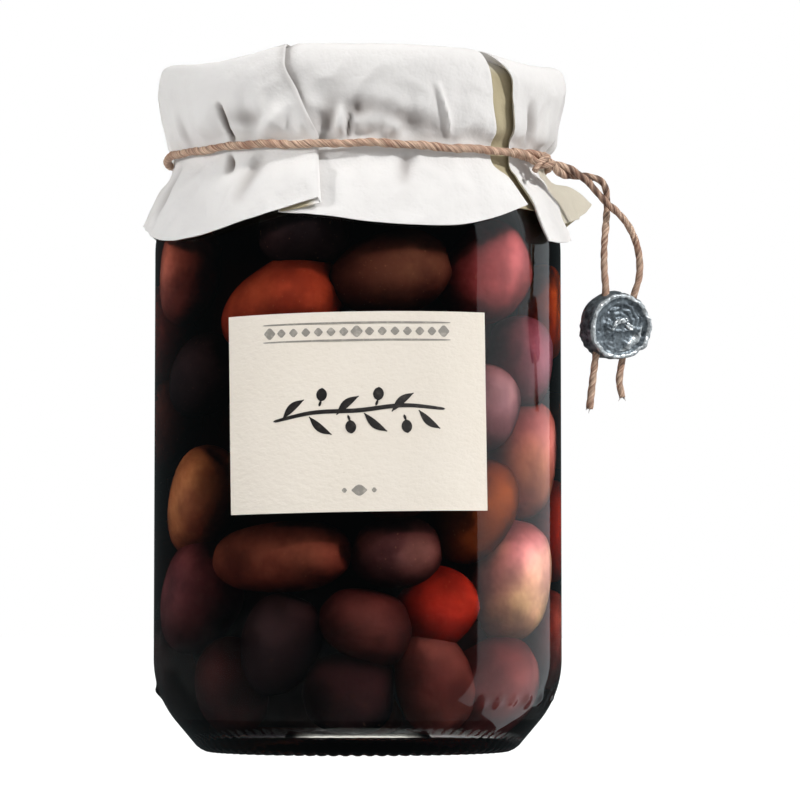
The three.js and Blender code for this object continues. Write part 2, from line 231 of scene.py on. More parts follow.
def ring_points(route: Array, spread: Array, sides: int) -> Array:
    """Rings of points round a route.

    Args:
        route: The middle line.
        spread: How far from it the points are, one row for each ring.
        sides: Points in a ring.

    Returns:
        The points, rings first.
    """
    side, up = route_frames(route)
    around = np.arange(sides) * 2 * math.pi / sides
    return (route[:, None] + side[:, None] * (spread * np.cos(around))[..., None]
            + up[:, None] * (spread * np.sin(around))[..., None])


def end_faces(rings: int, sides: int) -> Faces:
    """Returns the two faces that close a tube of rings."""
    return [list(range(sides)), [(rings - 1) * sides + i for i in range(sides)]]


def grid_faces(rows: int, columns: int, wrap: bool = False, start: int = 0) -> Faces:
    """Four-sided faces between the points of a grid.

    Args:
        rows: Points from top to bottom.
        columns: Points in a row.
        wrap: Whether a row closes on itself.
        start: Number of the grid's first point.

    Returns:
        The corners of each face.
    """
    row, column = np.mgrid[0:rows - 1, 0:columns if wrap else columns - 1]
    after = (column + 1) % columns
    corners = (row * columns + column, (row + 1) * columns + column,
               (row + 1) * columns + after, row * columns + after)
    return (np.stack([c.ravel() for c in corners], axis=1) + start).tolist()


def linked(name: str, data: bpy.types.ID) -> Piece:
    """Puts a mesh, a lamp or a camera into the scene.

    Args:
        name: Name of the object.
        data: What it shows.

    Returns:
        The object.
    """
    made = bpy.data.objects.new(name, data)
    bpy.context.scene.collection.objects.link(made)
    return made


@dataclass
class Surface:
    """Points and faces of a piece while it grows, with values at its points."""

    points: Array = field(default_factory=lambda: np.empty((0, 3)))
    faces: Faces = field(default_factory=list)
    values: dict[str, Array] = field(default_factory=dict)

    def add(self, points: Array, faces: Faces, **values: Array) -> "Surface":
        """Adds points, the faces between them, and the values at them.

        Args:
            points: New points, in millimetres.
            faces: Faces, numbered from the first new point.
            **values: For each name, one number or three for each new point.

        Returns:
            This surface.
        """
        start = len(self.points)
        self.points = np.concatenate([self.points, points])
        self.faces += [[corner + start for corner in face] for face in faces]
        for name, value in values.items():
            value = np.asarray(value, float)
            before = self.values.get(name, np.zeros((start,) + value.shape[1:]))
            self.values[name] = np.concatenate([before, value])
        return self

    def join(self, other: "Surface") -> "Surface":
        """Adds another surface with the same values, and returns this one."""
        return self.add(other.points, other.faces, **other.values)

    def build(self, name: str, material: Material, crisp: float = 180) -> Piece:
        """Makes the mesh object.

        Args:
            name: Name of the piece.
            material: Its finish.
            crisp: Edges that turn more than this many degrees are shaded sharp.

        Returns:
            The object, at the origin.
        """
        mesh = bpy.data.meshes.new(name)
        mesh.from_pydata(((self.points + (AXIS_X, 0, 0)) * MM).tolist(), [], self.faces)
        for key, value in self.values.items():
            kind, slot = ("FLOAT", "value") if value.ndim == 1 else ("FLOAT_VECTOR", "vector")
            mesh.attributes.new(key, kind, "POINT").data.foreach_set(slot, value.ravel())
        work = bmesh.new()
        work.from_mesh(mesh)
        bmesh.ops.recalc_face_normals(work, faces=work.faces)
        work.to_mesh(mesh)
        work.free()
        mesh.materials.append(material)
        mesh.shade_smooth()
        if crisp < 180:
            mesh.set_sharp_from_angle(angle=math.radians(crisp))
        return linked(name, mesh)


def turned(outline: Sequence[Pair], sides: int) -> Surface:
    """A body turned round the axis.

    Args:
        outline: Radius and height of each ring. An end with radius 0 closes in one point.
        sides: Points round each ring.

    Returns:
        The surface.
    """
    rings = np.array([ring for ring in outline if ring[0] > 0])
    around = np.arange(sides) * 360 / sides
    points = polar(around[None, :], rings[:, :1], rings[:, 1:]).reshape(-1, 3)
    faces = grid_faces(len(rings), sides, wrap=True)
    poles = [(0, outline[0]), (len(rings) - 1, outline[-1])]
    for row, (radius, height) in poles:
        if radius == 0:
            tip = len(points)
            points = np.concatenate([points, [(0, 0, height)]])
            first = row * sides
            faces += [[tip, first + i, first + (i + 1) % sides] for i in range(sides)]
    return Surface().add(points, faces)


def place(made: Piece, slot: str, *nodes: str) -> Piece:
    """Gives a piece its body, hides the solids that it stands for, and reports it.

    Args:
        made: The piece.
        slot: Not used.
        *nodes: The solids that it replaces, if any.

    Returns:
        The piece.
    """
    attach(made, BODY)
    if nodes:
        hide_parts(*nodes)
    LOG.info("%s: %d points, %d faces", made.name, len(made.data.vertices), len(made.data.polygons))
    return made


class Signal:
    """One output of a shader tree, which takes part in arithmetic."""

    def __init__(self, recipe: "Recipe", socket: bpy.types.NodeSocket) -> None:
        """Keeps the socket and the recipe that it belongs to."""
        self.recipe = recipe
        self.socket = socket

    def _math(self, operation: str, *values: "Amount") -> "Signal":
        """Returns a Math node's result."""
        return self.recipe.node("ShaderNodeMath", {"operation": operation}, dict(enumerate(values)))

    def __add__(self, other: "Amount") -> "Signal":
        """Returns the sum."""
        return self._math("ADD", self, other)

    def __radd__(self, other: "Amount") -> "Signal":
        """Returns the sum."""
        return self._math("ADD", other, self)

    def __sub__(self, other: "Amount") -> "Signal":
        """Returns the difference."""
        return self._math("SUBTRACT", self, other)

    def __rsub__(self, other: "Amount") -> "Signal":
        """Returns the difference."""
        return self._math("SUBTRACT", other, self)

    def __mul__(self, other: "Amount") -> "Signal":
        """Returns the product."""
        return self._math("MULTIPLY", self, other)

    def __rmul__(self, other: "Amount") -> "Signal":
        """Returns the product."""
        return self._math("MULTIPLY", other, self)

    def size(self) -> "Signal":
        """Returns the value without its sign."""
        return self._math("ABSOLUTE", self)

    def rise(self, low: float, high: float) -> "Signal":
        """Returns a soft step from 0 at low to 1 at high."""
        return self.recipe.node(
            "ShaderNodeMapRange", {"interpolation_type": "SMOOTHSTEP"},
            {"Value": self, "From Min": low, "From Max": high})


Amount = Union[Signal, float]


class Recipe:
    """A material while its nodes are put together."""

    def __init__(self, name: str) -> None:
        """Starts an empty material.

        Args:
            name: Its name.
        """
        self.material = bpy.data.materials.new(name)
        self.material.use_nodes = True
        self.tree = self.material.node_tree
        self.tree.nodes.clear()

    def node(self, kind: str, settings: Optional[dict] = None, sockets: Optional[dict] = None,
             output: Union[int, str] = 0) -> Signal:
        """Adds one node.

        Args:
            kind: The node's type.
            settings: Its options.
            sockets: For each input, by name or number, a value or a signal.
            output: The output to return.

        Returns:
            That output.
        """
        made = self.tree.nodes.new(kind)
        for name, value in (settings or {}).items():
            setattr(made, name, value)
        for name, value in (sockets or {}).items():
            self._feed(made.inputs[name], value)
        return Signal(self, made.outputs[output])

    def _feed(self, socket: bpy.types.NodeSocket, value: object) -> None:
        """Links a signal to a socket, or sets the socket's own value.

        Args:
            socket: The input to feed.
            value: A signal, a number, a choice or a colour of three parts.
        """
        if isinstance(value, Signal):
            self.tree.links.new(value.socket, socket)
        elif isinstance(value, tuple) and socket.type == "RGBA":
            socket.default_value = (*value, 1.0)
        else:
            socket.default_value = value

    def space(self) -> Signal:
        """Returns the place on the piece, in metres."""
        return self.node("ShaderNodeTexCoord", output="Object")

    def value(self, name: str) -> Signal:
        """Returns a number kept at the points."""
        return self.node("ShaderNodeAttribute", {"attribute_name": name}, output="Fac")

    def vector(self, name: str, output: str = "Vector") -> Signal:
        """Returns three numbers kept at the points."""
        return self.node("ShaderNodeAttribute", {"attribute_name": name}, output=output)

    def noise(self, where: Signal, size: float, detail: float = 2.0, rough: float = 0.5,
              stretch: Colour = (1.0, 1.0, 1.0)) -> Signal:
        """A noise in space.

        Args:
            where: The place to read.
            size: How wide its patches are, in metres.
            detail: How many finer noises it holds.
            rough: How strong those are.
            stretch: How many times longer the patches are along each axis.

        Returns:
            The noise, mostly from 0.3 to 0.7.
        """
        scaled = self.node("ShaderNodeMapping", {"vector_type": "POINT"},
                           {"Vector": where, "Scale": tuple(1 / part for part in stretch)})
        return self.node("ShaderNodeTexNoise", {"normalize": True},
                         {"Vector": scaled, "Scale": 1 / size, "Detail": detail,
                          "Roughness": rough})

    def blend(self, share: Amount, first: object, second: object, way: str = "MIX") -> Signal:
        """Returns a mix of two colours."""
        return self.node("ShaderNodeMix", {"data_type": "RGBA", "blend_type": way},
                         {0: share, 6: first, 7: second}, output=2)

    def bump(self, height: Signal, depth: float, under: Optional[Signal] = None) -> Signal:
        """A bent normal.

        Args:
            height: A height from 0 to 1.
            depth: What a height of 1 stands for, in metres.
            under: A normal that is bent already.

        Returns:
            The normal.
        """
        sockets = {"Height": height, "Strength": 1.0, "Distance": depth}
        if under is not None:
            sockets["Normal"] = under
        return self.node("ShaderNodeBump", {}, sockets)

    def principled(self, **sockets: object) -> Signal:
        """Returns a Principled shader; underscores in the names stand for spaces."""
        return self.node("ShaderNodeBsdfPrincipled", {},
                         {name.replace("_", " "): value for name, value in sockets.items()})

    def finish(self, surface: Signal, volume: Optional[Signal] = None) -> Material:
        """Wires the shaders to the output.

        Args:
            surface: Shader of the surface.
            volume: Shader of what fills the piece, if any.

        Returns:
            The material.
        """
        made = self.tree.nodes.new("ShaderNodeOutputMaterial")
        self._feed(made.inputs["Surface"], surface)
        if volume is not None:
            self._feed(made.inputs["Volume"], volume)
        return self.material

    def lit_through(self, shader: Signal, tone: Colour) -> Signal:
        """A shader that lets the light of lamps pass.

        Args:
            shader: The shader that all else sees.
            tone: What the light is multiplied by on its way.

        Returns:
            The two shaders together.
        """
        shadow = self.node("ShaderNodeLightPath", output="Is Shadow Ray")
        clear = self.node("ShaderNodeBsdfTransparent", {}, {"Color": tone})
        return self.node("ShaderNodeMixShader", {}, {0: shadow, 1: shader, 2: clear})


@dataclass(frozen=True)
class ClearGlass:
    """Clear pressed glass. still is for the inside face, which the brine wets."""

    index: float = 1.5
    tone: Colour = (0.96, 0.985, 0.975)

    def build(self, name: str, still: bool = False) -> Material:
        """Makes the material.

        Args:
            name: Its name.
            still: Whether the face hardly reflects.

        Returns:
            The material.
        """
        recipe = Recipe(name)
        ripple = recipe.noise(recipe.space(), 0.014, detail=1.0)
        pitted = recipe.noise(recipe.space(), 0.0016, detail=2.0)
        bent = recipe.bump(ripple, 0.00006)
        shader = recipe.principled(
            Base_Color=self.tone, IOR=self.index, Transmission_Weight=1.0,
            Specular_Tint=(0.06, 0.06, 0.06) if still else (1.0, 1.0, 1.0),
            Roughness=pitted.rise(0.62, 0.9) * 0.03, Normal=bent)
        return recipe.finish(recipe.lit_through(shader, (0.95, 0.96, 0.955)))


@dataclass(frozen=True)
class Brine:
    """Dark brine, which soaks up light within a few millimetres."""

    index: float = 1.333
    depth: float = 180.0
    tone: Colour = (0.35, 0.12, 0.1)

    def build(self) -> Material:
        """Returns the material."""
        recipe = Recipe("brine")
        cloud = recipe.noise(recipe.space(), 0.02, detail=1.0)
        shader = recipe.principled(
            Base_Color=(1.0, 1.0, 1.0), IOR=self.index, Transmission_Weight=1.0,
            Specular_Tint=(0.03, 0.03, 0.03), Roughness=cloud * 0.01)
        soak = recipe.node("ShaderNodeVolumeAbsorption", {},
                           {"Color": self.tone, "Density": self.depth})
        return recipe.finish(recipe.lit_through(shader, (1.0, 1.0, 1.0)), soak)


@dataclass(frozen=True)
class OliveSkin:
    """Wet olive skin: each olive's own colour, clouded and finely speckled."""

    speck: Colour = tint(196, 142, 96)

    def build(self) -> Material:
        """Returns the material."""
        recipe = Recipe("olive_skin")
        where = recipe.space()
        own = recipe.vector("skin", output="Color")
        cloud = recipe.noise(where, 0.006, detail=3.0, rough=0.6).rise(0.3, 0.75)
        dark = recipe.blend(1.0, own, (0.62, 0.55, 0.58), way="MULTIPLY")
        clouded = recipe.blend(cloud, dark, own)
        dots = recipe.noise(where, 0.00055, detail=1.0).rise(0.7, 0.8)
        dotted = recipe.blend(dots * 0.16, clouded, self.speck)
        skin = recipe.noise(where, 0.0007, detail=2.0)
        crease = recipe.noise(where, 0.004, detail=2.0)
        bent = recipe.bump(skin, 0.00002, recipe.bump(crease, 0.0003))
        return recipe.finish(recipe.principled(
            Base_Color=dotted, Roughness=0.6 + 0.2 * cloud, Specular_IOR_Level=0.0, Normal=bent))


@dataclass(frozen=True)
class HeapCore:
    """The hidden middle of the heap."""

    def build(self) -> Material:
        """Returns the material."""
        recipe = Recipe("heap_core")
        lumps = recipe.noise(recipe.space(), 0.009, detail=2.0)
        shade = recipe.blend(lumps, tint(26, 10, 10), tint(58, 22, 18))
        return recipe.finish(recipe.principled(
            Base_Color=shade, Roughness=0.7, Normal=recipe.bump(lumps, 0.002)))


@dataclass(frozen=True)
class CoverPaper:
    """Stiff uncoated white paper, with painted shade: warm and dim inside its folds, grey in its dents
    and beside the front pleat's edge.
    """

    face: Colour = tint(236, 234, 232)
    # inside is painted shade: the warm dim tone of the paper in the shadow of a pleat.
    inside: Colour = tint(184, 172, 142)
    # hollow is painted shade, grey, for the dents and beside the front pleat's edge.
    hollow: Colour = tint(122, 111, 106)

    def build(self) -> Material:
        """Returns the material."""
        recipe = Recipe("cover_paper")
        where = recipe.space()
        cloud = recipe.noise(where, 0.011, detail=3.0, rough=0.6)
        sheet = recipe.blend(cloud, self.face, tint(228, 225, 223))
        # Painted shade, grey, in the dents and beside the front pleat's edge.
        painted_light = recipe.blend(recipe.value("hollow") * 0.9, sheet, self.hollow)
        # Painted shade: the warm dim tone where the paper lies in the shadow of a pleat.
        fold_shaded = recipe.blend(recipe.value("fold"), painted_light, self.inside)
        fibre = recipe.noise(where, 0.0009, detail=4.0, rough=0.65)
        crush = recipe.noise(where, 0.0045, detail=3.0, rough=0.55)
        bent = recipe.bump(fibre, 0.00006, recipe.bump(crush, 0.0004))
        solid = recipe.principled(Base_Color=fold_shaded, Roughness=0.88, Specular_IOR_Level=0.2,
                                  Normal=bent)
        glow = recipe.node("ShaderNodeBsdfTranslucent", {}, {"Color": tint(238, 226, 205)})
        return recipe.finish(recipe.node("ShaderNodeMixShader", {}, {0: 0.12, 1: solid, 2: glow}))


@dataclass(frozen=True)
class TwineFibre:
    """Thin waxed brown twine, its fibres along the twist, with painted shade in the grooves between its
    plies and darker near where the pair parts.
    """

    light: Colour = tint(240, 211, 185)
    dark: Colour = tint(126, 88, 70)

    def build(self) -> Material:
        """Returns the material."""
        recipe = Recipe("twine_fibre")
        lay = recipe.vector("lay")
        strand = recipe.noise(lay, 0.36, detail=3.0, rough=0.7)
        patch = recipe.noise(recipe.space(), 0.004, detail=2.0)
        groove = recipe.value("groove")
        warm = recipe.blend(strand.rise(0.3, 0.72), self.dark, self.light)
        aged = recipe.blend(patch.rise(0.35, 0.75) * 0.45, warm, tint(160, 112, 90))
        # Painted shade in the grooves between the plies, with the darkening near where the pair parts.
        sunk = recipe.blend(groove * 0.85, aged, tint(70, 44, 35))
        return recipe.finish(recipe.principled(
            Base_Color=sunk, Roughness=0.62, Specular_IOR_Level=0.35,
            Normal=recipe.bump(strand, 0.00022)))


@dataclass(frozen=True)
class PressedLead:
    """Dull grey lead, bright where rubbing has polished it; that brightness is also a painted highlight
    on the raised rim and the top of the pressed face.
    """

    dull: Colour = tint(134, 144, 151)
    rubbed: Colour = tint(238, 243, 245)

    def build(self) -> Material:
        """Returns the material."""
        recipe = Recipe("pressed_lead")
        where = recipe.space()
        grain = recipe.noise(where, 0.0012, detail=4.0, rough=0.7)
        scratch = recipe.noise(where, 0.0006, detail=2.0, stretch=(5.0, 1.0, 1.5))
        # Polished wear and painted highlight together: the raised rim and the top of the pressed face.
        painted_light = (recipe.value("rub") * 1.3 + (grain - 0.5) * 0.9).rise(0.25, 0.75)
        tone = recipe.blend(grain.rise(0.28, 0.66), tint(48, 56, 63), self.dull)
        bright = recipe.blend(painted_light, tone, self.rubbed)
        bent = recipe.bump(scratch, 0.00008, recipe.bump(grain, 0.00016))
        return recipe.finish(recipe.principled(
            Base_Color=bright, Metallic=0.55, Roughness=0.4 - 0.12 * painted_light, Normal=bent))


@dataclass(frozen=True)
class LabelPaper:
    """Cream laid paper."""

    face: Colour = tint(226, 218, 207)

    def build(self) -> Material:
        """Returns the material."""
        recipe = Recipe("label_paper")
        where = recipe.space()
        laid = recipe.noise(where, 0.0009, detail=3.0, rough=0.6, stretch=(1.5, 1.5, 1.0))
        fleck = recipe.noise(where, 0.0005, detail=2.0).rise(0.66, 0.8)
        cloud = recipe.noise(where, 0.013, detail=2.0)
        base = recipe.blend(cloud, self.face, tint(220, 211, 198))
        grained = recipe.blend(laid.rise(0.3, 0.8) * 0.2, base, tint(214, 204, 190))
        flecked = recipe.blend(fleck * 0.25, grained, tint(186, 170, 150))
        return recipe.finish(recipe.principled(
            Base_Color=flecked, Roughness=0.8, Specular_IOR_Level=0.25,
            Normal=recipe.bump(laid, 0.00012)))


@dataclass(frozen=True)
class Ink:
    """Printing or drawing ink that has sunk a little into the paper."""

    name: str
    shade: Colour
    thin: Colour

    def build(self) -> Material:
        """Returns the material."""
        recipe = Recipe(self.name)
        pool = recipe.noise(recipe.space(), 0.0012, detail=3.0, rough=0.6)
        shade = recipe.blend(pool.rise(0.45, 0.8), self.shade, self.thin)
        return recipe.finish(recipe.principled(
            Base_Color=shade, Roughness=0.7, Normal=recipe.bump(pool, 0.00004)))


@dataclass(frozen=True)
class Tinplate:
    """Plain lacquered tinplate."""

    def build(self) -> Material:
        """Returns the material."""
        recipe = Recipe("lacquered_tinplate")
        scuff = recipe.noise(recipe.space(), 0.006, detail=3.0, stretch=(3.0, 3.0, 1.0))
        shade = recipe.blend(scuff, tint(212, 188, 130), tint(188, 160, 104))
        return recipe.finish(recipe.principled(
            Base_Color=shade, Metallic=0.85, Roughness=0.25 + 0.2 * scuff,
            Normal=recipe.bump(scuff, 0.00005)))


@dataclass(frozen=True)
class JarForm:
    """The outline of the glass."""

    body_radius: float = (JAR_HIGH[0] - JAR_LOW[0]) / 2 / MM
    height: float = JAR_HIGH[2] / MM
    wall: float = 2.5
    ring_inner: float = 28.8
    ring_outer: float = 31.3
    push_up: float = 1.8
    heel_radius: float = 20.0
    heel_top: float = 19.0
    heel_foot: float = 6.1
    base_inside: float = 5.2
    shoulder_foot: float = 102.5
    shoulder_slope: float = 1.6
    neck_foot: float = 117.0
    neck_radius: float = 35.9
    mouth_radius: float = 33.2

    def heel(self, inset: float, steps: int) -> list[Pair]:
        """The round from the body down to the slant towards the standing ring.

        Args:
            inset: How far inside the outer face it runs.
            steps: Steps in the round.

        Returns:
            Radius and height of each ring.
        """
        turn = math.asin((self.heel_top - self.heel_foot) / self.heel_radius)
        middle = self.body_radius - self.heel_radius
        radius = self.heel_radius - inset
        angles = [turn * i / steps for i in range(steps + 1)]
        return [(middle + radius * math.cos(a), self.heel_top - radius * math.sin(a))
                for a in angles]

    def shoulder(self, foot: float, start: float, top: float, end: float, steps: int) -> list[Pair]:
        """The round from the body in to the neck.

        Args:
            foot: Height where it starts.
            start: Radius there.
            top: Height where it ends.
            end: Radius there.
            steps: Steps in the round.

        Returns:
            Radius and height of each ring.
        """
        angles = [math.pi / 2 * i / steps for i in range(steps + 1)]
        return [(end + (start - end) * math.cos(a) ** self.shoulder_slope,
                 foot + (top - foot) * math.sin(a)) for a in angles]

    def hollow(self, grow: float = 0.0, steps: int = 10) -> list[Pair]:
        """The inside of the glass, from the mouth down to the middle of the base.

        Args:
            grow: How far outside the true face the outline runs.
            steps: Steps in each round.

        Returns:
            Radius and height of each ring.
        """
        inner = self.body_radius - self.wall + grow
        shoulder = self.shoulder(self.shoulder_foot, inner, self.neck_foot + 1,
                                 self.mouth_radius + grow, steps)
        foot = self.base_inside - grow
        corner = self.ring_outer - 1
        return [(self.mouth_radius + grow, self.height), *reversed(shoulder),
                *self.heel(self.wall - grow, steps),
                (corner + 1.6 + grow, foot + 0.55), (corner + grow, foot + 0.12),
                (corner - 1.8, foot), (corner * 0.6, foot + 0.1), (0, foot + 0.25)]

    def outside(self, steps: int = 12) -> list[Pair]:
        """The outside of the glass, from the middle of the push-up to the mouth.

        Args:
            steps: Steps in each round.

        Returns:
            Radius and height of each ring.
        """
        shoulder = self.shoulder(self.shoulder_foot, self.body_radius, self.neck_foot,
                                 self.neck_radius, steps)
        ring = (self.ring_inner + self.ring_outer) / 2
        return [(0, self.push_up + 0.5), (self.ring_inner * 0.5, self.push_up + 0.35),
                (self.ring_inner - 3.2, self.push_up), (self.ring_inner - 1.2, 0.9),
                (self.ring_inner, 0.12), (self.ring_inner + 0.5, 0), (ring, 0),
                (self.ring_outer - 0.5, 0), (self.ring_outer, 0.1),
                (self.ring_outer + 0.9, 0.5), (self.ring_outer + 1.9, 1.25),
                *reversed(self.heel(0, steps)), *shoulder,
                (self.neck_radius, self.height - 1.2), (self.neck_radius - 0.4, self.height - 0.3),
                (self.neck_radius - 1.2, self.height)]

    def inside_radius(self, z: Array) -> Array:
        """Returns how far the inside of the wall is from the axis, above the floor's corner."""
        radii, heights = np.array(self.hollow()[-4::-1]).T
        return np.interp(z, heights, radii)


@dataclass
class GlassJar:
    """The glass, with the knurled ring that it stands on, a mould nib and a row of mould dots."""

    form: JarForm
    sides: int = 400
    knurls: int = 80
    knurl_depth: float = 0.3
    nib_azimuth: float = -88.0
    nib_height: float = 12.2
    nib_size: float = 1.2
    nib_rise: float = 0.8
    dot_azimuths: tuple[float, ...] = (38.0, 44.0, 50.0, 57.0, 66.0, 78.0)
    dot_height: float = 10.5
    dot_size: float = 1.2
    dot_rise: float = 0.9

    def _knurl(self, surface: Surface) -> None:
        """Cuts shallow notches across the ring, so that it stands on the lands between them.

        Args:
            surface: The glass.
        """
        x, y, z = surface.points.T
        radius = np.hypot(x, y)
        notch = 0.5 - 0.5 * np.cos(self.knurls * np.arctan2(x, -y))
        on_ring = np.clip(1 - z / 1.3, 0, 1) * (radius > self.form.ring_inner - 0.6)
        on_ring *= radius < self.form.ring_outer + 2
        surface.points[:, 2] += self.knurl_depth * notch**2 * on_ring

    def _raise(self, surface: Surface, azimuth: float, height: float, size: float, rise: float) -> None:
        """Raises a round spot on the outside.

        Args:
            surface: The glass.
            azimuth: Degrees to the right of the front.
            height: Height of its middle.
            size: How far it spreads.
            rise: How far it stands out.
        """
        spot = polar(np.array(azimuth), np.array(self.form.body_radius - 1.0), np.array(height))
        away = np.linalg.norm(surface.points - spot, axis=1) / size
        outer = np.hypot(*surface.points.T[:2]) > self.form.inside_radius(surface.points[:, 2]) + 1
        lift = rise * np.exp(-away**2) * outer
        flat = surface.points * (1, 1, 0)
        surface.points += flat / np.maximum(np.linalg.norm(flat, axis=1, keepdims=True), 1e-6) * (
            lift[:, None])

    def build(self, face: Material, wetted: Material) -> Piece:
        """Makes the glass.

        Args:
            face: Finish of the outside.
            wetted: Finish of the inside.

        Returns:
            The piece.
        """
        outside, inside = self.form.outside(24), self.form.hollow(0.0, 24)
        surface = turned([*outside, *inside], self.sides)
        self._knurl(surface)
        self._raise(surface, self.nib_azimuth, self.nib_height, self.nib_size, self.nib_rise)
        for azimuth in self.dot_azimuths:
            self._raise(surface, azimuth, self.dot_height, self.dot_size, self.dot_rise)
        made = surface.build("jar_glass", face, crisp=50)
        made.data.materials.append(wetted)
        centres = np.array([tuple(part.center) for part in made.data.polygons]) / MM
        radius = np.hypot(centres[:, 0] - AXIS_X, centres[:, 1])
        wet = (radius < self.form.inside_radius(centres[:, 2]) + 0.6) & (
            centres[:, 2] > self.form.base_inside - 0.2)
        made.data.polygons.foreach_set("material_index", wet.astype(int))
        return place(made, "clear_glass", "glass_jar")


@dataclass
class BrineFill:
    """The brine, which reaches a little way into the glass so that no air shows between them."""

    form: JarForm
    level: float = 116.5
    overlap: float = 0.15
    sides: int = 192

    def build(self, material: Material) -> Piece:
        """Makes the brine.

        Args:
            material: Its finish.

        Returns:
            The piece.
        """
        wall = [ring for ring in self.form.hollow(self.overlap, 16) if ring[1] < self.level]
        edge = float(self.form.inside_radius(np.array(self.level))) + self.overlap
        rim = [(0, self.level), (edge - 2, self.level), (edge - 0.6, self.level + 0.15),
               (edge, self.level + 0.5)]
        return place(turned([*rim, *wall], self.sides).build("brine", material, crisp=50), "olive")


class Skin(Enum):
    """Colours of an olive, upper and lower, as they look through the glass."""

    DIM_RED = (tint(217, 119, 94), tint(171, 93, 80))
    BLACK = (tint(53, 37, 38), tint(36, 27, 30))
    VERMILION = (tint(177, 75, 45), tint(143, 50, 32))
    BROWN = (tint(84, 49, 35), tint(65, 32, 23))
    CORAL = (tint(158, 83, 84), tint(132, 55, 53))
    ORANGE = (tint(208, 90, 22), tint(183, 62, 13))
    DEEP_RED = (tint(168, 77, 60), tint(131, 60, 53))
    PURPLE = (tint(154, 92, 105), tint(117, 65, 75))
    ROSE = (tint(129, 92, 95), tint(103, 66, 69))
    TAN = (tint(216, 141, 87), tint(172, 104, 71))
    PEACH = (tint(173, 97, 92), tint(182, 117, 82))
    AMBER = (tint(102, 47, 17), tint(117, 57, 22))
    RUST = (tint(117, 63, 45), tint(99, 45, 34))
    GRAPE = (tint(94, 57, 52), tint(72, 42, 42))
    STRAW = (tint(225, 151, 149), tint(225, 197, 135))
    SCARLET = (tint(225, 66, 20), tint(223, 54, 17))
    MAROON = (tint(76, 37, 33), tint(58, 27, 25))
    PLUM = (tint(134, 72, 74), tint(97, 55, 60))
    WINE = (tint(53, 32, 33), tint(15, 14, 16))
    EMBER = (tint(141, 35, 21), tint(121, 27, 18))
    HEATHER = (tint(121, 62, 60), tint(85, 37, 37))
    SLOE = (tint(68, 33, 32), tint(48, 23, 25))
    CHESTNUT = (tint(108, 58, 50), tint(89, 43, 40))


@dataclass(frozen=True)
class Olive:
    """One olive at the wall: where its middle is, its size, tilt in degrees, and its colours."""

    azimuth: float
    z: float
    length: float
    thick: float
    tilt: float
    skin: Skin

    def reach(self, dx: float, dz: float) -> float:
        """How far it reaches from its middle in a direction on the unrolled wall.

        Args:
            dx: The direction's part round the jar.
            dz: The direction's part upwards.

        Returns:
            The distance.
        """
        turn = math.atan2(dz, dx) - math.radians(self.tilt)
        long, short = self.length / 2, self.thick / 2
        return long * short / math.hypot(short * math.cos(turn), long * math.sin(turn))


FRONT_OLIVES = (
    Olive(-74, 97, 20, 15, 75, Skin.DIM_RED), Olive(-18, 104, 18, 14, 5, Skin.BLACK),
    Olive(-27, 89.5, 25, 17, 27, Skin.VERMILION), Olive(11, 95.5, 23.5, 16.5, 15, Skin.BROWN),
    Olive(50, 96, 21.5, 18, 50, Skin.CORAL), Olive(88, 90, 20, 15, 80, Skin.ORANGE),
    Olive(-97, 86, 21, 16, 80, Skin.DEEP_RED), Olive(68, 79, 18.5, 16, 70, Skin.PURPLE),
    Olive(46, 69, 17.5, 15, 60, Skin.ROSE), Olive(-62, 76, 19, 15.5, 30, Skin.BLACK),
    Olive(-63, 51, 23, 15.5, 58, Skin.TAN), Olive(71, 59.5, 25, 18, 78, Skin.PEACH),
    Olive(43, 48.5, 22.5, 16, 56, Skin.AMBER), Olive(98, 45, 21, 15, 70, Skin.SCARLET),
    Olive(-27, 39.4, 28, 14, 3, Skin.RUST), Olive(13, 40.2, 17, 14.5, 8, Skin.GRAPE),
    Olive(64, 34.5, 25.5, 19.5, 76, Skin.STRAW), Olive(27, 29, 17, 15, 45, Skin.EMBER),
    Olive(3, 25.8, 18.5, 14.5, -22, Skin.MAROON), Olive(-68, 31.5, 24, 18.5, 50, Skin.PLUM),
    Olive(-27, 22.5, 19.5, 15.5, 70, Skin.BLACK), Olive(-3, 13, 17, 15, 0, Skin.WINE),
    Olive(27, 14, 20.5, 14.5, -62, Skin.CHESTNUT), Olive(56, 14, 20, 18, 20, Skin.HEATHER),
    Olive(-49, 13, 18, 15, 60, Skin.SLOE), Olive(91, 24, 18, 15, 75, Skin.DEEP_RED),
)
DRAWN_SKINS = (Skin.PLUM, Skin.WINE, Skin.MAROON, Skin.DIM_RED, Skin.GRAPE, Skin.RUST,
               Skin.CHESTNUT, Skin.TAN, Skin.VERMILION, Skin.BROWN, Skin.PURPLE)
FLOOR_SKINS = (Skin.WINE, Skin.RUST, Skin.PLUM, Skin.MAROON, Skin.TAN, Skin.GRAPE, Skin.BROWN)


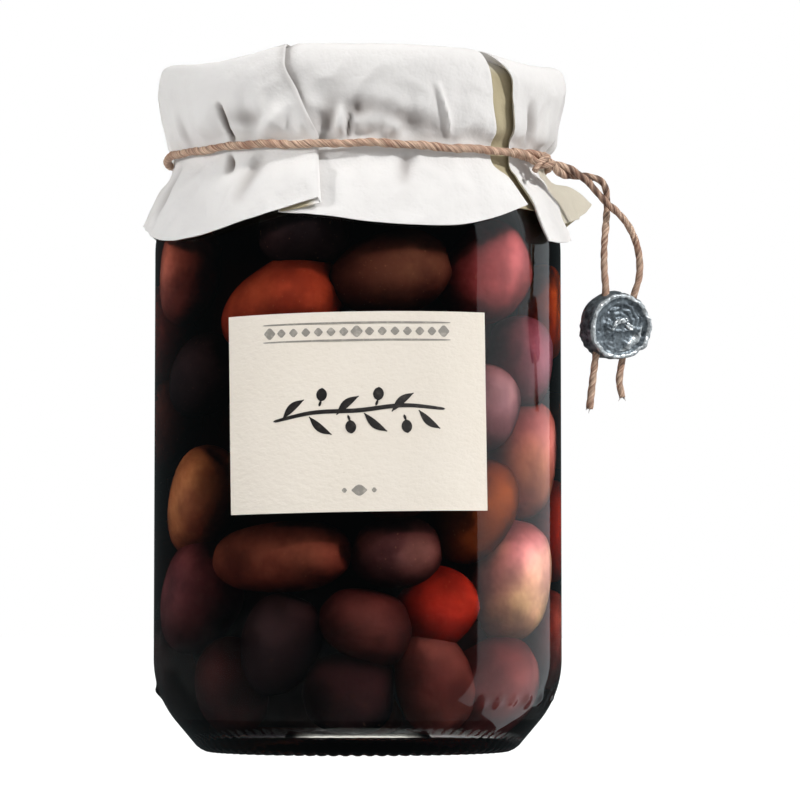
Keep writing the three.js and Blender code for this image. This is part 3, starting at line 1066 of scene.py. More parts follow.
@dataclass
class OliveHeap:
    """The olives behind the glass, on a dark core."""

    form: JarForm
    foot: float = 5.6
    top: float = 112.0
    core_radius: float = 27.0
    core_waist: float = 16.0
    wall_play: float = 0.25
    heel_lean: float = 1.3
    floor_ring: float = 17.5
    closeness: float = 0.93
    middle_depth: float = 8.0
    drawn_z: Pair = (13.5, 104)
    drawn_length: Pair = (18, 24)
    drawn_thick: Pair = (14, 16.5)
    drawn_tilt: Pair = (-80, 80)
    floor_length: Pair = (18, 21)
    floor_thick: Pair = (14, 16)
    sides: int = 30
    rows: int = 20
    tries: int = 6000

    def _has_room(self, olive: Olive, others: Iterable[Olive]) -> bool:
        """Whether an olive has room among the others on the unrolled wall.

        Args:
            olive: The olive to place.
            others: Those that have their places.

        Returns:
            Whether it has.
        """
        for other in others:
            turn = (olive.azimuth - other.azimuth + 540) % 360 - 180
            dx = math.radians(turn) * (self.form.body_radius - self.form.wall - self.middle_depth)
            dz = olive.z - other.z
            apart = self.closeness * (olive.reach(dx, dz) + other.reach(dx, dz))
            if math.hypot(dx, dz) <= apart:
                return False
        return True

    def wall_olives(self) -> list[Olive]:
        """Returns the front olives as seen, and the rest drawn by the rule of the solid."""
        olives = list(FRONT_OLIVES)
        draw = draws(2718)
        for _ in range(self.tries):
            olive = Olive(360 * draw() - 180, mix(*self.drawn_z, draw()),
                          mix(*self.drawn_length, draw()), mix(*self.drawn_thick, draw()),
                          mix(*self.drawn_tilt, draw()),
                          DRAWN_SKINS[len(olives) * 7 % len(DRAWN_SKINS)])
            if self._has_room(olive, olives):
                olives.append(olive)
        return olives

    def _shape(self, length: float, thick: float, seed: int) -> Array:
        """One olive, its long axis along X.

        Args:
            length: Length of the olive.
            thick: Thickness of the olive.
            seed: Picks its unevenness.

        Returns:
            Its points: the rings from end to end, then the two tips.
        """
        angles = np.linspace(0, math.pi, self.rows + 1)[1:-1]
        plump = 2.15 + 0.3 * (seed * 37 % 10) / 10
        heights = np.cos(angles)
        outline = [(0, 1.0), *zip((1 - np.abs(heights) ** plump) ** (1 / plump), heights), (0, -1.0)]
        x, y, z = turned(outline, self.sides).points.T
        along, across = z, np.stack([x, y], axis=1)
        scar = np.exp(-((along - 1) / 0.018) ** 2)
        nib = np.exp(-((along + 1) / 0.012) ** 2)
        points = np.column_stack([along * (1 - 0.1 * scar + 0.035 * nib),
                                  across * (1 + 0.08 * along)[:, None]])
        uneven = 1 + 0.022 * waves(points, seed, 1.9) + 0.007 * waves(points, seed + 1, 0.7)
        return points * uneven[:, None] * (length / 2, thick / 2, thick / 2)

    def _colours(self, points: Array, skin: Skin, seed: int) -> Array:
        """The colours of an olive.

        Args:
            points: Its points, about the origin.
            skin: Its two colours.
            seed: Picks how they cloud.

        Returns:
            A colour for each point.
        """
        upper, lower = (np.array(part) for part in skin.value)
        height = points[:, 2] / (np.abs(points[:, 2]).max() + 1e-6)
        share = 0.5 + 0.5 * np.clip(1.5 * height + 0.7 * waves(points, seed + 5, 16.0), -1, 1)
        shade = 1 + 0.16 * waves(points, seed + 9, 9.0)
        return (lower + (upper - lower) * share[:, None]) * shade[:, None]

    def _leant(self, points: Array, z: float) -> Array:
        """Returns points whose foot leans back to lie along the round of the heel."""
        drop = max(self.form.heel_top - z, 0) / (self.form.heel_radius - self.form.wall)
        return rotated(points, 1, 2, self.heel_lean * math.asin(drop))

    def _spun(self, points: Array, azimuth: float) -> Array:
        """Returns points turned round the axis."""
        return rotated(points, 0, 1, math.radians(azimuth))

    def _clear_of_glass(self, points: Array) -> Array:
        """An olive at the front, lifted off the base and moved in until it clears the wall.

        Args:
            points: Its points.

        Returns:
            The moved points.
        """
        raised = points + (0, 0, max(self.foot - points[:, 2].min(), 0))
        over = np.hypot(raised[:, 0], raised[:, 1]) - self.form.inside_radius(raised[:, 2])
        return raised + (0, over.max() + self.wall_play, 0)

    def _faces(self) -> Faces:
        """Returns the faces between the points of one olive."""
        return turned([(0, 1.0), *[(1.0, 0.0)] * (self.rows - 1), (0, -1.0)], self.sides).faces

    def _by_wall(self) -> Surface:
        """Returns the olives that lie against the wall."""
        heap, faces = Surface(), self._faces()
        for number, olive in enumerate(self.wall_olives()):
            shape = rotated(self._shape(olive.length, olive.thick, 40 + number), 0, 2,
                            math.radians(olive.tilt))
            inside = float(self.form.inside_radius(np.array(olive.z)))
            leant = self._leant(shape, olive.z)
            placed = self._clear_of_glass(leant + (0, olive.thick / 2 - inside, olive.z))
            heap.add(self._spun(placed, olive.azimuth), faces,
                     skin=self._colours(shape, olive.skin, number))
        return heap

    def _on_floor(self) -> Surface:
        """Returns the olives that lie on the base, one in the middle and a ring round it."""
        heap, faces = Surface(), self._faces()
        draw = draws(31)
        for number, skin in enumerate(FLOOR_SKINS):
            thick = mix(*self.floor_thick, draw())
            shape = self._shape(mix(*self.floor_length, draw()), thick, 400 + number)
            shape = self._spun(shape, 360 * draw())
            out = 0 if number == 0 else -self.floor_ring
            placed = shape + (0, out, self.foot + 1.05 * thick / 2)
            heap.add(self._spun(placed, 60 * number), faces,
                     skin=self._colours(shape, skin, 500 + number))
        return heap

    def _core(self) -> Surface:
        """Returns the core, a lumpy post from near the base to under the brine's level."""
        radius, foot, top = self.core_radius, self.foot + 3, self.top
        outline = [(0, foot), (radius - 5, foot)]
        outline += [(radius, self.core_waist + (top - 28) * i / 24) for i in range(25)]
        outline += [(radius - 6, top), (0, top)]
        post = turned(outline, 72)
        post.points *= 1 + 0.05 * waves(post.points, 77, 15.0)[:, None] * (1, 1, 0)
        return post

    def build(self, skin: Material, core: Material) -> list[Piece]:
        """Makes the olives and their core.

        Args:
            skin: Finish of the olives.
            core: Finish of the core.

        Returns:
            The two pieces.
        """
        heap = self._by_wall().join(self._on_floor())
        return [place(heap.build("olive_heap", skin), "olive", "olives"),
                place(self._core().build("heap_core", core), "olive")]


@dataclass(frozen=True)
class Fold:
    """A crease down the cover.

    azimuth is at the top's edge, the rim, the twine and the hem, and lift at the last three.
    """

    azimuth: tuple[float, float, float, float]
    lift: Triple

    def beside(self, shift: tuple[float, float, float, float], lift: Triple) -> "Fold":
        """Another crease beside this one.

        Args:
            shift: How many degrees round the jar it lies, at each of the four heights.
            lift: Its lift.

        Returns:
            The crease.
        """
        return Fold(tuple(a + b for a, b in zip(self.azimuth, shift)), lift)


class Lie(Enum):
    """How a panel lies: in sight, back under the one before or after it, or along a channel."""

    FACE = 0
    UNDER_BEFORE = 1
    UNDER_AFTER = 2
    FLOOR = 3


@dataclass(frozen=True)
class Panel:
    """The sheet between two creases, with the heights and radii of its hem.

    shade is how much painted shade its flare below the twine has, in the tone of the inside of a pleat.
    """

    start: Fold
    end: Fold
    hem_z: tuple[float, ...]
    hem_r: tuple[float, ...]
    lie: Lie = Lie.FACE
    shade: float = 0.0


@dataclass(frozen=True)
class Dent:
    """A straight dent or ridge in the sheet, from one azimuth and height to another."""

    start: Pair
    end: Pair
    width: float
    depth: float


@dataclass
class PaperCover:
    """The paper over the lid: one sheet with real folds, drawn in by the twine and flared below."""

    top: float = 139.7
    sheet: float = 0.25
    rim_edge: float = 1.35
    rim_drop: float = 2.4
    rim_draw: float = 2.2
    rim_radius: float = 42.4
    waist_radius: float = 38.45
    waist_band: float = 1.2
    column_step: float = 0.55
    rows: int = 140
    dent_gain: float = 1.8
    # Painted shade: the dent depth that gets full grey, and the grey beside the front pleat's edge and
    # its reach.
    dent_shade_depth: float = 1.7
    edge_shade: float = 0.34
    edge_reach: float = 1.5
    rim_rise: tuple[Pair, ...] = (
        (-130, 0), (-90, 0.9), (-65, 0.8), (-44, 0.45), (-30, 0.6), (-21, 1.0), (-17, 1.4), (-9, 0.6),
        (0, 0.1), (10, 0.4), (19, 1.0), (27, 1.6), (34, 2.1), (41, 2.1), (47, 1.8), (53, 1.0),
        (60, 0.4), (70, 0.4), (90, 0.6), (130, 0),
    )
    over_lift: Triple = (0.6, 0.5, 1.2)
    under_lift: Triple = (-0.5, -1.1, -0.6)
    dents: tuple[Dent, ...] = (
        Dent((-42.5, 129), (-40.3, 122.4), 0.75, -1.9), Dent((-41.5, 119.6), (-40, 116.6), 0.8, -1.1),
        Dent((-52, 123.5), (-48, 129), 2.6, 0.8), Dent((-38, 126.8), (-29, 126), 1.7, -0.6),
        Dent((-27.5, 123), (-24, 126.5), 1.8, 0.9), Dent((-10, 123), (-7.5, 128), 2.2, -0.8),
        Dent((-3.2, 122), (-2.4, 126.4), 0.4, -0.8), Dent((-5.6, 123), (-5, 127.5), 1.0, 0.6),
        Dent((-2.2, 127.8), (1.8, 127.6), 1.9, -0.85), Dent((4.8, 127.8), (26, 122.9), 1.8, -0.6),
        Dent((20.8, 132), (26.4, 122.5), 0.6, -0.22), Dent((22, 132), (27.6, 122.5), 0.6, 0.5),
        Dent((15, 119.5), (13, 114), 1.6, -0.5), Dent((-30, 119.5), (-34, 111), 1.8, -0.5),
        Dent((-62, 123), (-66, 128), 1.5, -0.45), Dent((-70, 118), (-74, 111), 2.0, -0.6),
        Dent((60, 124), (57, 130), 1.4, -0.7), Dent((84, 124), (88, 130), 1.6, -0.8),
        Dent((112, 124), (116, 130), 1.5, -0.9), Dent((133, 123), (129, 128), 1.5, -0.8),
        Dent((168, 124), (171, 130), 1.4, -0.9), Dent((190, 123), (186, 129), 1.6, -0.8),
        Dent((226, 124), (229, 130), 1.5, -0.9), Dent((245, 123), (241, 128), 1.5, -0.8),
    )

    def tie_height(self, azimuth: Array) -> Array:
        """Returns the height of the twine at each azimuth."""
        return 121.3 - 0.6 * np.cos(np.radians(azimuth)) - 0.5 * np.sin(np.radians(azimuth))

    def _pleat(self, over: Triple, width: Triple, from_rim: bool = True) -> tuple[Fold, Fold]:
        """The two creases of a pleat whose left side lies over its right side.

        Args:
            over: Azimuths of the edge that shows, at the rim, the twine and the hem.
            width: How many degrees the sheet runs back under that edge.
            from_rim: Whether the pleat starts at the rim or only below the twine.

        Returns:
            The upper crease and the hidden one.
        """
        held = np.array((1, 1, 1) if from_rim else (0, 0, 1))
        upper = Fold((over[0], *over), tuple(held * self.over_lift))
        shift = (-width[0], *(-part for part in width))
        return upper, upper.beside(shift, tuple(held * self.under_lift))

    def panels(self) -> list[Panel]:
        """Returns the panels of the sheet and the hidden strips between them, once round."""
        a_top, a_low = self._pleat((-20, -11.6, -9.6), (0.8, 9, 12))
        b_edge = Fold((34.2, 37.6, 43.7, 52.3), (0.1, 0.12, 0.6))
        b_deep = b_edge.beside((-0.1, -0.6, -3, -4), (-1.6, -1.0, -3.0))
        c_deep = Fold((35.2, 48.8, 56.2, 66), (-1.6, -1.0, -2.6))
        c_edge = Fold((34.8, 44.4, 51.8, 58.5), (0.3, 0.15, 0.7))
        d_top, d_low = self._pleat((66, 72, 74.5), (0.01, 0.02, 4), from_rim=False)
        e_top, e_low = self._pleat((99, 99, 103.5), (0.8, 6, 9))
        f_top, f_low = self._pleat((148, 150, 150), (0.8, 7, 9))
        g_top, g_low = self._pleat((207, 205, 205), (0.8, 7, 9))
        h_top, h_low = self._pleat((263, 264, 263), (0.8, 6, 8))
        turn = (-360.0,) * 4
        return [
            Panel(h_low.beside(turn, h_low.lift), a_top, (110, 108, 103.9, 103.3, 106.1, 109.8),
                  (43.6, 44.5, 44.2, 43.8, 43.5, 43.1)),
            Panel(a_top, a_low, (108.5, 107.6, 107.1), (43.1, 43, 42.9), Lie.UNDER_BEFORE),
            Panel(a_low, b_edge, (107.1, 106.2, 104.9, 104.4, 104.8, 107, 110.2),
                  (42.9, 43.1, 43.3, 43.3, 43.3, 43.2, 43)),
            Panel(b_edge, b_deep, (110.2, 109.6), (43, 42.6), Lie.UNDER_BEFORE),
            Panel(b_deep, c_deep, (109.6, 109.4), (42.6, 42.8), Lie.FLOOR),
            Panel(c_deep, c_edge, (106, 103.1), (43.4, 44.4), Lie.UNDER_AFTER),
            Panel(c_edge, d_top, (103.1, 103.3, 104.3), (44.4, 44.9, 45.1)),
            Panel(d_top, d_low, (104.3, 107), (45.1, 44.4), Lie.UNDER_BEFORE),
            # The wing beside the right flap has painted shade on its flare.
            Panel(d_low, e_top, (107, 108.9, 110.8, 114.7), (44.4, 44.5, 46.6, 50.6), shade=0.65),
            Panel(e_top, e_low, (114.7, 108), (50.6, 43.6), Lie.UNDER_BEFORE),
            Panel(e_low, f_top, (108, 105.5, 104.3, 106.5), (43.6, 43.6, 43.6, 43.4)),
            Panel(f_top, f_low, (106.5, 107.5), (43.4, 43.1), Lie.UNDER_BEFORE),
            Panel(f_low, g_top, (107.5, 104.6, 104, 105, 107.6), (43.1, 43.3, 43.4, 43.3, 43.2)),
            Panel(g_top, g_low, (107.6, 105.5), (43.2, 43), Lie.UNDER_BEFORE),
            Panel(g_low, h_top, (105.5, 103.8, 104.2, 108.5), (43, 43.7, 43.9, 43.7)),
            Panel(h_top, h_low, (108.5, 110), (43.7, 43.6), Lie.UNDER_BEFORE),
        ]

    def _columns(self, panel: Panel) -> tuple[Array, Array]:
        """The lines down one panel.

        Args:
            panel: The panel.

        Returns:
            Azimuth, radius and height of each line's points, rows first, and how much painted
            shade, in the tone of the inside of a pleat, each point has.
        """
        span = np.abs(np.subtract(panel.end.azimuth, panel.start.azimuth)).max()
        steps = max(4, round(math.radians(span) * self.rim_radius / self.column_step))
        share = np.arange(steps) / steps
        edge, rim, tie, hem = (
            mix(a, b, share) for a, b in zip(panel.start.azimuth, panel.end.azimuth))
        sharp = 3 if panel.lie is Lie.FACE else 1
        lift_rim, lift_tie, lift_hem = (
            a * (1 - share) ** sharp + b * share ** sharp
            for a, b in zip(panel.start.lift, panel.end.lift))
        places = np.linspace(0, 1, len(panel.hem_z))
        hem_z = hermite(places, np.array(panel.hem_z), share)
        hem_r = hermite(places, np.array(panel.hem_r), share)
        rim_r = self.rim_radius + 0.65 * np.sin(np.radians(rim)) + lift_rim
        rim_z = 139.05 + 1.2 * np.cos(np.radians(4 * rim)) + np.interp(
            (rim + 180) % 360 - 180, *np.array(self.rim_rise).T)
        tie_z = self.tie_height(tie)
        band = self.waist_radius + 0.1 + lift_tie
        rise = 0.5 * lift_rim
        rows = [
            (edge, rim_r * 0.1, mix(self.top, rim_z, 0.02)),
            (edge, rim_r * 0.5, mix(self.top, rim_z, 0.3) + 0.5 * rise),
            (edge, rim_r - self.rim_edge - 2.5, mix(self.top, rim_z, 0.85) + rise),
            (edge, rim_r - self.rim_edge - 0.4, rim_z + rise),
            (mix(edge, rim, 0.2), rim_r - self.rim_edge + 0.25, rim_z - 0.35 + rise),
            (mix(edge, rim, 0.8), rim_r - 0.2, rim_z - self.rim_drop),
            (rim, rim_r, rim_z - self.rim_drop - 1.2),
            (mix(rim, tie, 0.4), rim_r - 0.4 * self.rim_draw,
             mix(rim_z - self.rim_drop, tie_z + 4, 0.55)),
            (mix(rim, tie, 0.8), rim_r - self.rim_draw - 0.5 * lift_rim + 0.4 * lift_tie, tie_z + 4),
            (tie, band + 0.05, tie_z + self.waist_band),
            (tie, band, tie_z),
            (tie, band + 0.05, tie_z - self.waist_band),
            (mix(tie, hem, 0.5), mix(band, hem_r, 0.56) + 0.6 * lift_hem, mix(tie_z, hem_z, 0.52)),
            (hem, hem_r + 0.5 * lift_hem, hem_z),
        ]
        lines = np.array([np.stack(np.broadcast_arrays(*row), axis=-1) for row in rows])
        tuck = {Lie.UNDER_BEFORE: 1 - share, Lie.UNDER_AFTER: share}.get(panel.lie, 0 * share)
        wide = np.abs(lines[:, -1:, 0] - lines[:, :1, 0]) / 1.5
        sunk = 2 * self.sheet * tuck * (share > 0) * np.clip(wide, 0, 1)
        if panel.lie is Lie.UNDER_BEFORE:
            sunk += 1.5 * self.sheet * (share == 0) * np.clip(wide, 0, 1)
        lines[:4, :, 2] -= sunk[:4]
        lines[4:, :, 1] -= sunk[4:]
        # Painted shade where a strip lies back under a panel or along the channel, and on a flare that
        # is given shade.
        deep = {Lie.UNDER_BEFORE: share, Lie.UNDER_AFTER: 1 - share, Lie.FACE: 0 * share}.get(
            panel.lie, 1 + 0 * share)
        dim = np.clip(wide, 0, 1) * np.clip(4 * deep - 0.4, 0, 1)
        if panel.lie is Lie.UNDER_BEFORE and span > 5:
            dim[:-3] = 0
        dim[-4:] = np.maximum(dim[-4:], panel.shade)
        return lines, dim

    def _rumple(self, lines: Array) -> Array:
        """How far the sheet stands out at each point beyond its plain form.

        Args:
            lines: Azimuth, radius and height of the points.

        Returns:
            One distance for each point.
        """
        azimuth, radius, z = np.moveaxis(lines, -1, 0)
        points = polar(azimuth, radius, z)
        tie = np.abs(z - self.tie_height(azimuth))
        held = np.clip((tie - 0.9) / 2.2, 0, 1)
        below = z < self.tie_height(azimuth)
        gather = waves(points * (1, 1, 0.12), 5, 5.2) * (tie / 3.2) * np.exp(1 - tie / 3.2)
        broad = waves(points, 11, 17.0) * np.where(below, 0.14, 0.24)
        crush = 0.26 * (0.5 - np.abs(waves(points, 21, 9.5)))
        loose = gather * np.where(below, 0.12, 0.42) + broad + crush
        return (self._dented(azimuth, z) + loose) * held * np.clip(radius / 30, 0, 1)

    def _dented(self, azimuth: Array, z: Array) -> Array:
        """Returns the depth of all the dents together at each azimuth and height."""
        return self.dent_gain * sum(self._dent(dent, azimuth, z) for dent in self.dents)

    def _dent(self, dent: Dent, azimuth: Array, z: Array) -> Array:
        """The depth of one dent.

        Args:
            dent: The dent.
            azimuth: Degrees to the right of the front.
            z: Heights.

        Returns:
            The depth at each place.
        """
        unroll = math.radians(1) * self.rim_radius
        start = np.array([dent.start[0] * unroll, dent.start[1]])
        way = np.array([dent.end[0] * unroll, dent.end[1]]) - start
        turn = (azimuth - dent.start[0] + 180) % 360 - 180
        dx, dz = turn * unroll, z - start[1]
        along = np.clip((dx * way[0] + dz * way[1]) / (way @ way), 0, 1)
        away = np.hypot(dx - along * way[0], dz - along * way[1]) / dent.width
        return dent.depth * np.exp(-away**2) * (0.55 + 0.45 * np.sin(math.pi * along))

    def _painted_shade(self, lines: Array, crease: int) -> Array:
        """How much painted shade each point has, in the dents and beside the front pleat's edge.

        Args:
            lines: Azimuth, radius and height of the points.
            crease: Number of the line along that edge, which stays white itself.

        Returns:
            From 0 to 1 for each point.
        """
        azimuth, _, z = np.moveaxis(lines, -1, 0)
        dent_shade = np.clip(-self._dented(azimuth, z) / self.dent_shade_depth, 0, 1)
        away = np.abs(azimuth - azimuth[:, [crease]]) * math.radians(self.rim_radius)
        beside = np.exp(-(away / self.edge_reach) ** 2)
        beside[:, crease] = 0
        return np.maximum(dent_shade, self.edge_shade * beside * (z > self.tie_height(azimuth)))

    @staticmethod
    def _normals(outer: Array) -> Array:
        """The directions square to the sheet.

        Args:
            outer: Points of the outer face, rows first.

        Returns:
            One direction for each point. Where lines pinch together, it is read off a wider part.
        """
        down = np.gradient(outer, axis=0)
        across, wide = (np.roll(outer, -far, axis=1) - np.roll(outer, far, axis=1) for far in (1, 8))
        pinched = np.linalg.norm(across, axis=-1, keepdims=True) < 0.2
        normal = np.cross(down, np.where(pinched, wide, across))
        return normal / np.maximum(np.linalg.norm(normal, axis=-1, keepdims=True), 1e-9)

    @staticmethod
    def _faces(rows: int, columns: int) -> Faces:
        """The faces of the closed sheet.

        Args:
            rows: Points down a line.
            columns: Lines round the jar.

        Returns:
            Faces between the outer points, the inner points and the middle of each side's top.
        """
        count = rows * columns
        faces = grid_faces(rows, columns, wrap=True)
        faces += [face[::-1] for face in grid_faces(rows, columns, wrap=True, start=count)]
        last = count - columns
        for c in range(columns):
            after = (c + 1) % columns
            faces.append([last + c, count + last + c, count + last + after, last + after])
            faces.append([2 * count, c, after])
            faces.append([2 * count + 1, count + after, count + c])
        return faces

    def build(self, material: Material) -> Piece:
        """Makes the cover as one closed sheet.

        Args:
            material: Finish of the paper.

        Returns:
            The piece.
        """
        parts = [self._columns(panel) for panel in self.panels()]
        lines, dim = (np.concatenate(group, axis=1) for group in zip(*parts))
        knots = run_along(lines.mean(axis=1)[:, 1:])
        even = np.linspace(0, knots[-1], self.rows)
        lines = hermite(knots, lines, even)
        dim = np.clip(hermite(knots, dim, even), 0, 1)
        past_edge = (even - knots[4])[:, None]
        rumple = self._rumple(lines) * np.clip(np.abs(past_edge) / 6 - 0.05, 0, 1)
        lines[..., 1] += rumple * (past_edge >= 0)
        lines[..., 2] += rumple * 0.6 * (past_edge < 0)
        # Painted shade, grey, in the dents and beside the front pleat's edge.
        hollow = self._painted_shade(lines, parts[0][0].shape[1])
        outer = polar(*np.moveaxis(lines, -1, 0))
        inner = outer - self._normals(outer) * self.sheet
        tips = np.array([[0, 0, self.top], [0, 0, self.top - self.sheet]])
        points = np.concatenate([outer.reshape(-1, 3), inner.reshape(-1, 3), tips])
        # Painted shade inside the pleats below the rim's edge, and in the dents and beside the front
        # pleat's edge.
        tones = (dim * np.clip(past_edge / 4, 0, 1), hollow)
        fold, painted_light = (np.concatenate([tone.ravel(), tone.ravel(), [0, 0]]) for tone in tones)
        sheet = Surface().add(points, self._faces(*hollow.shape), fold=fold, hollow=painted_light)
        return place(sheet.build("cover_paper", material, crisp=60), "cover_paper", "paper_cover")


PAIR_ROUTE = (
    (31, -24.7, 120.9), (35, -21.8, 120.4), (38.2, -19.6, 119.4),
    (41, -17.8, 118.3), (44, -16.4, 117.5), (46.5, -15.4, 116.9),
)
# The twine is darkest here, where the pair parts
DARKEST_AT = (46.5, -15.5, 115.2)
KNOT_LOOP = (
    (35, -23.6, 119.4), (36, -24, 118.9), (37, -23.4, 119.2), (37.8, -22.2, 120),
    (37.9, -20.8, 120.7), (37.3, -19.8, 120.8), (36.6, -19.9, 120), (36.5, -21, 118.9),
    (37.3, -22, 118.5), (38.5, -21.6, 118.7), (39.6, -20.4, 119.2),
)
KNOT_END = ((38.4, -20.4, 120.4), (37.4, -22.4, 119.9), (36.4, -24, 118.6), (35.5, -25, 117.1))
LEFT_TAIL = (
    (46.95, -14.5, 117.1), (48.5, -14.2, 116.9), (49.9, -14.1, 116), (50.6, -14.1, 114.3),
    (50.75, -14.2, 111.6), (50.5, -14.6, 107.5), (50.1, -15.2, 103), (50.05, -15.8, 98),
    (50.3, -16.1, 93.6), (49.8, -16, 90), (49.1, -15.7, 86), (48.6, -15.4, 82.4),
    (48.15, -15.2, 79.4), (47.6, -15.1, 75), (47, -15, 69.7),
)
RIGHT_TAIL = (
    (46.85, -16.3, 115.9), (47.9, -16.6, 114.5), (49.3, -16.7, 112.9), (50.8, -16.6, 111.3),
    (52.5, -16.2, 109.9), (54.1, -15.6, 108.3), (55.6, -14.9, 106.1), (56.8, -14.2, 103.2),
    (57.4, -13.6, 100), (57.3, -13.2, 96.6), (56.2, -13, 92.8), (55.4, -12.6, 89),
    (54.7, -12.3, 85), (54.1, -12.1, 81), (53.5, -12, 77.6), (53.3, -12, 75.4),
    (53.9, -12, 72.2),
)


@dataclass
class Twine:
    """Two-ply twine: the turn round the cover, its knot and pair, and the two free tails."""

    cover: PaperCover
    radius: float = 0.85
    tail_radius: float = 0.74
    ring_gap: float = 0.3
    pitch: float = 5.2
    soft: float = 0.82
    pair_radius: float = 0.74
    pair_turns: float = 1.35
    darkening: float = 0.85
    darkening_reach: float = 4.2
    sides: int = 22
    step: float = 0.3
    fray_count: int = 10
    fray_radius: float = 0.09
    fray_sides: int = 5

    def _strand(self, route: Array, radius: float, phase: float = 0.0, closed: bool = False) -> Surface:
        """A length of two-ply twine.

        Args:
            route: Its middle line.
            radius: Half of its greatest thickness.
            phase: Where the twist starts, in turns.
            closed: Whether the route comes back to its start.

        Returns:
            The surface.
        """
        run = run_along(route)[:, None]
        around = np.arange(self.sides) * 2 * math.pi / self.sides
        turn = around[None, :] - 2 * math.pi * (run / self.pitch + phase)
        lobes = (0.9 * np.abs(np.cos(turn)) + np.sqrt(1 - 0.81 * np.sin(turn) ** 2)) / 1.9
        uneven = (1 + 0.05 * waves(route, 3, 3.5))[:, None]
        spread = radius * (self.soft + (1 - self.soft) * lobes) * uneven
        points = ring_points(route, spread, self.sides)
        lay = np.stack(np.broadcast_arrays(np.cos(turn), np.sin(turn), run * 0.1), axis=-1)
        faces = grid_faces(len(route), self.sides, wrap=True)
        if closed:
            last = (len(route) - 1) * self.sides
            faces += [[last + i, i, (i + 1) % self.sides, last + (i + 1) % self.sides]
                      for i in range(self.sides)]
        else:
            faces += end_faces(len(route), self.sides)
        # Painted shade in the grooves between the plies, and a darkening that is strongest near where
        # the pair parts.
        away = np.linalg.norm(route - DARKEST_AT, axis=1) / self.darkening_reach
        darkening = self.darkening * np.clip(2 - away, 0, 1)[:, None]
        groove = np.clip(0.6 * (1 - (lobes - 0.24) / 0.34) + darkening, 0, 1)
        return Surface().add(points.reshape(-1, 3), faces, lay=lay.reshape(-1, 3),
                             groove=groove.ravel())

    def _frayed(self, route: Array, seed: int) -> Surface:
        """The loose fibres at the end of a tail.

        Args:
            route: The tail's middle line.
            seed: Picks how they lie.

        Returns:
            The surface.
        """
        rng = np.random.default_rng(seed)
        way = route[-1] - route[-4]
        way /= np.linalg.norm(way)
        fibres = Surface()
        for _ in range(self.fray_count):
            spread = rng.normal(size=3)
            start = route[-3] + spread * 0.22
            lean = way + spread * 0.26
            long = rng.uniform(0.45, 1.15)
            bend = start + lean * long * 0.55 + rng.normal(size=3) * 0.1
            line = smooth_route([start, bend, start + lean * long], 0.3)
            fibres.join(self._thread(line, self.fray_radius))
        return fibres

    def _thread(self, route: Array, radius: float) -> Surface:
        """One thin fibre.

        Args:
            route: Its middle line.
            radius: Half of its thickness at the root.

        Returns:
            The surface.
        """
        spread = radius * np.linspace(1, 0.4, len(route))[:, None]
        points = ring_points(route, spread, self.fray_sides).reshape(-1, 3)
        faces = grid_faces(len(route), self.fray_sides, wrap=True)
        faces += end_faces(len(route), self.fray_sides)
        # The loose fibres take the dark tone throughout.
        return Surface().add(points, faces, lay=points * 0.4, groove=np.full(len(points), 0.9))

    def _ring(self) -> Surface:
        """Returns the turn of twine round the cover."""
        azimuth = np.linspace(0, 360, 860, endpoint=False)
        out = self.cover.waist_radius + self.ring_gap + self.radius
        wave = 0.16 * np.sin(np.radians(9 * azimuth + 40)) + 0.1 * np.sin(np.radians(23 * azimuth))
        route = polar(azimuth, np.full_like(azimuth, out), self.cover.tie_height(azimuth) + wave)
        return self._strand(route, self.radius, closed=True)

    def _wound(self, axis: Array, radius: float, turns: float, phase: float) -> Array:
        """A route that winds round another.

        Args:
            axis: The route in the middle.
            radius: How far from it the new one runs, after a short lead-in.
            turns: How many turns it makes.
            phase: Where it starts, in turns.

        Returns:
            The route.
        """
        side, up = route_frames(axis)
        turn = 2 * math.pi * (np.linspace(0, turns, len(axis)) + phase)
        radius = radius * np.clip(np.linspace(0, 5, len(axis)), 0.05, 1)[:, None]
        return axis + radius * (side * np.cos(turn)[:, None] + up * np.sin(turn)[:, None])

    def build(self, seal: Piece, material: Material) -> None:
        """Makes the twine and its two tails.

        Args:
            seal: The seal, which hangs on the tails; not used.
            material: Finish of the twine.
        """
        tails = ((LEFT_TAIL, "twine_tail_l", "twine_tail_left", (seal,)),
                 (RIGHT_TAIL, "twine_tail_r", "twine_tail_right", ()))
        for points, name, node, carried in tails:
            route = smooth_route(points, self.step)
            made = place(self._strand(route, self.tail_radius).build(name, material), "twine", node)
            loose = place(self._frayed(route, len(points)).build(f"{name}_fray", material), "twine")
            LOG.info("%s: %.1f mm long", name, route_length(route))
        wrap = self._ring()
        axis = smooth_route(PAIR_ROUTE, self.step)
        pair = [self._wound(axis, self.pair_radius, self.pair_turns, phase) for phase in (0.0, 0.5)]
        ends = [np.array(points[0]) for points in (LEFT_TAIL, RIGHT_TAIL)]
        apart = [sum(np.linalg.norm(line[-1] - end) for line, end in zip(pair, order))
                 for order in (ends, ends[::-1])]
        parting = np.clip(np.linspace(-3, 1, len(axis)), 0, 1)[:, None] ** 2
        for line, end in zip(pair, ends if apart[0] < apart[1] else ends[::-1]):
            wrap.join(self._strand(line + parting * (end - line[-1]), self.radius * 0.95))
        for points in (KNOT_LOOP, KNOT_END):
            wrap.join(self._strand(smooth_route(points, 0.25), self.radius * 0.76, 0.3))
        place(wrap.build("twine_turn", material), "twine", "twine_wrap")


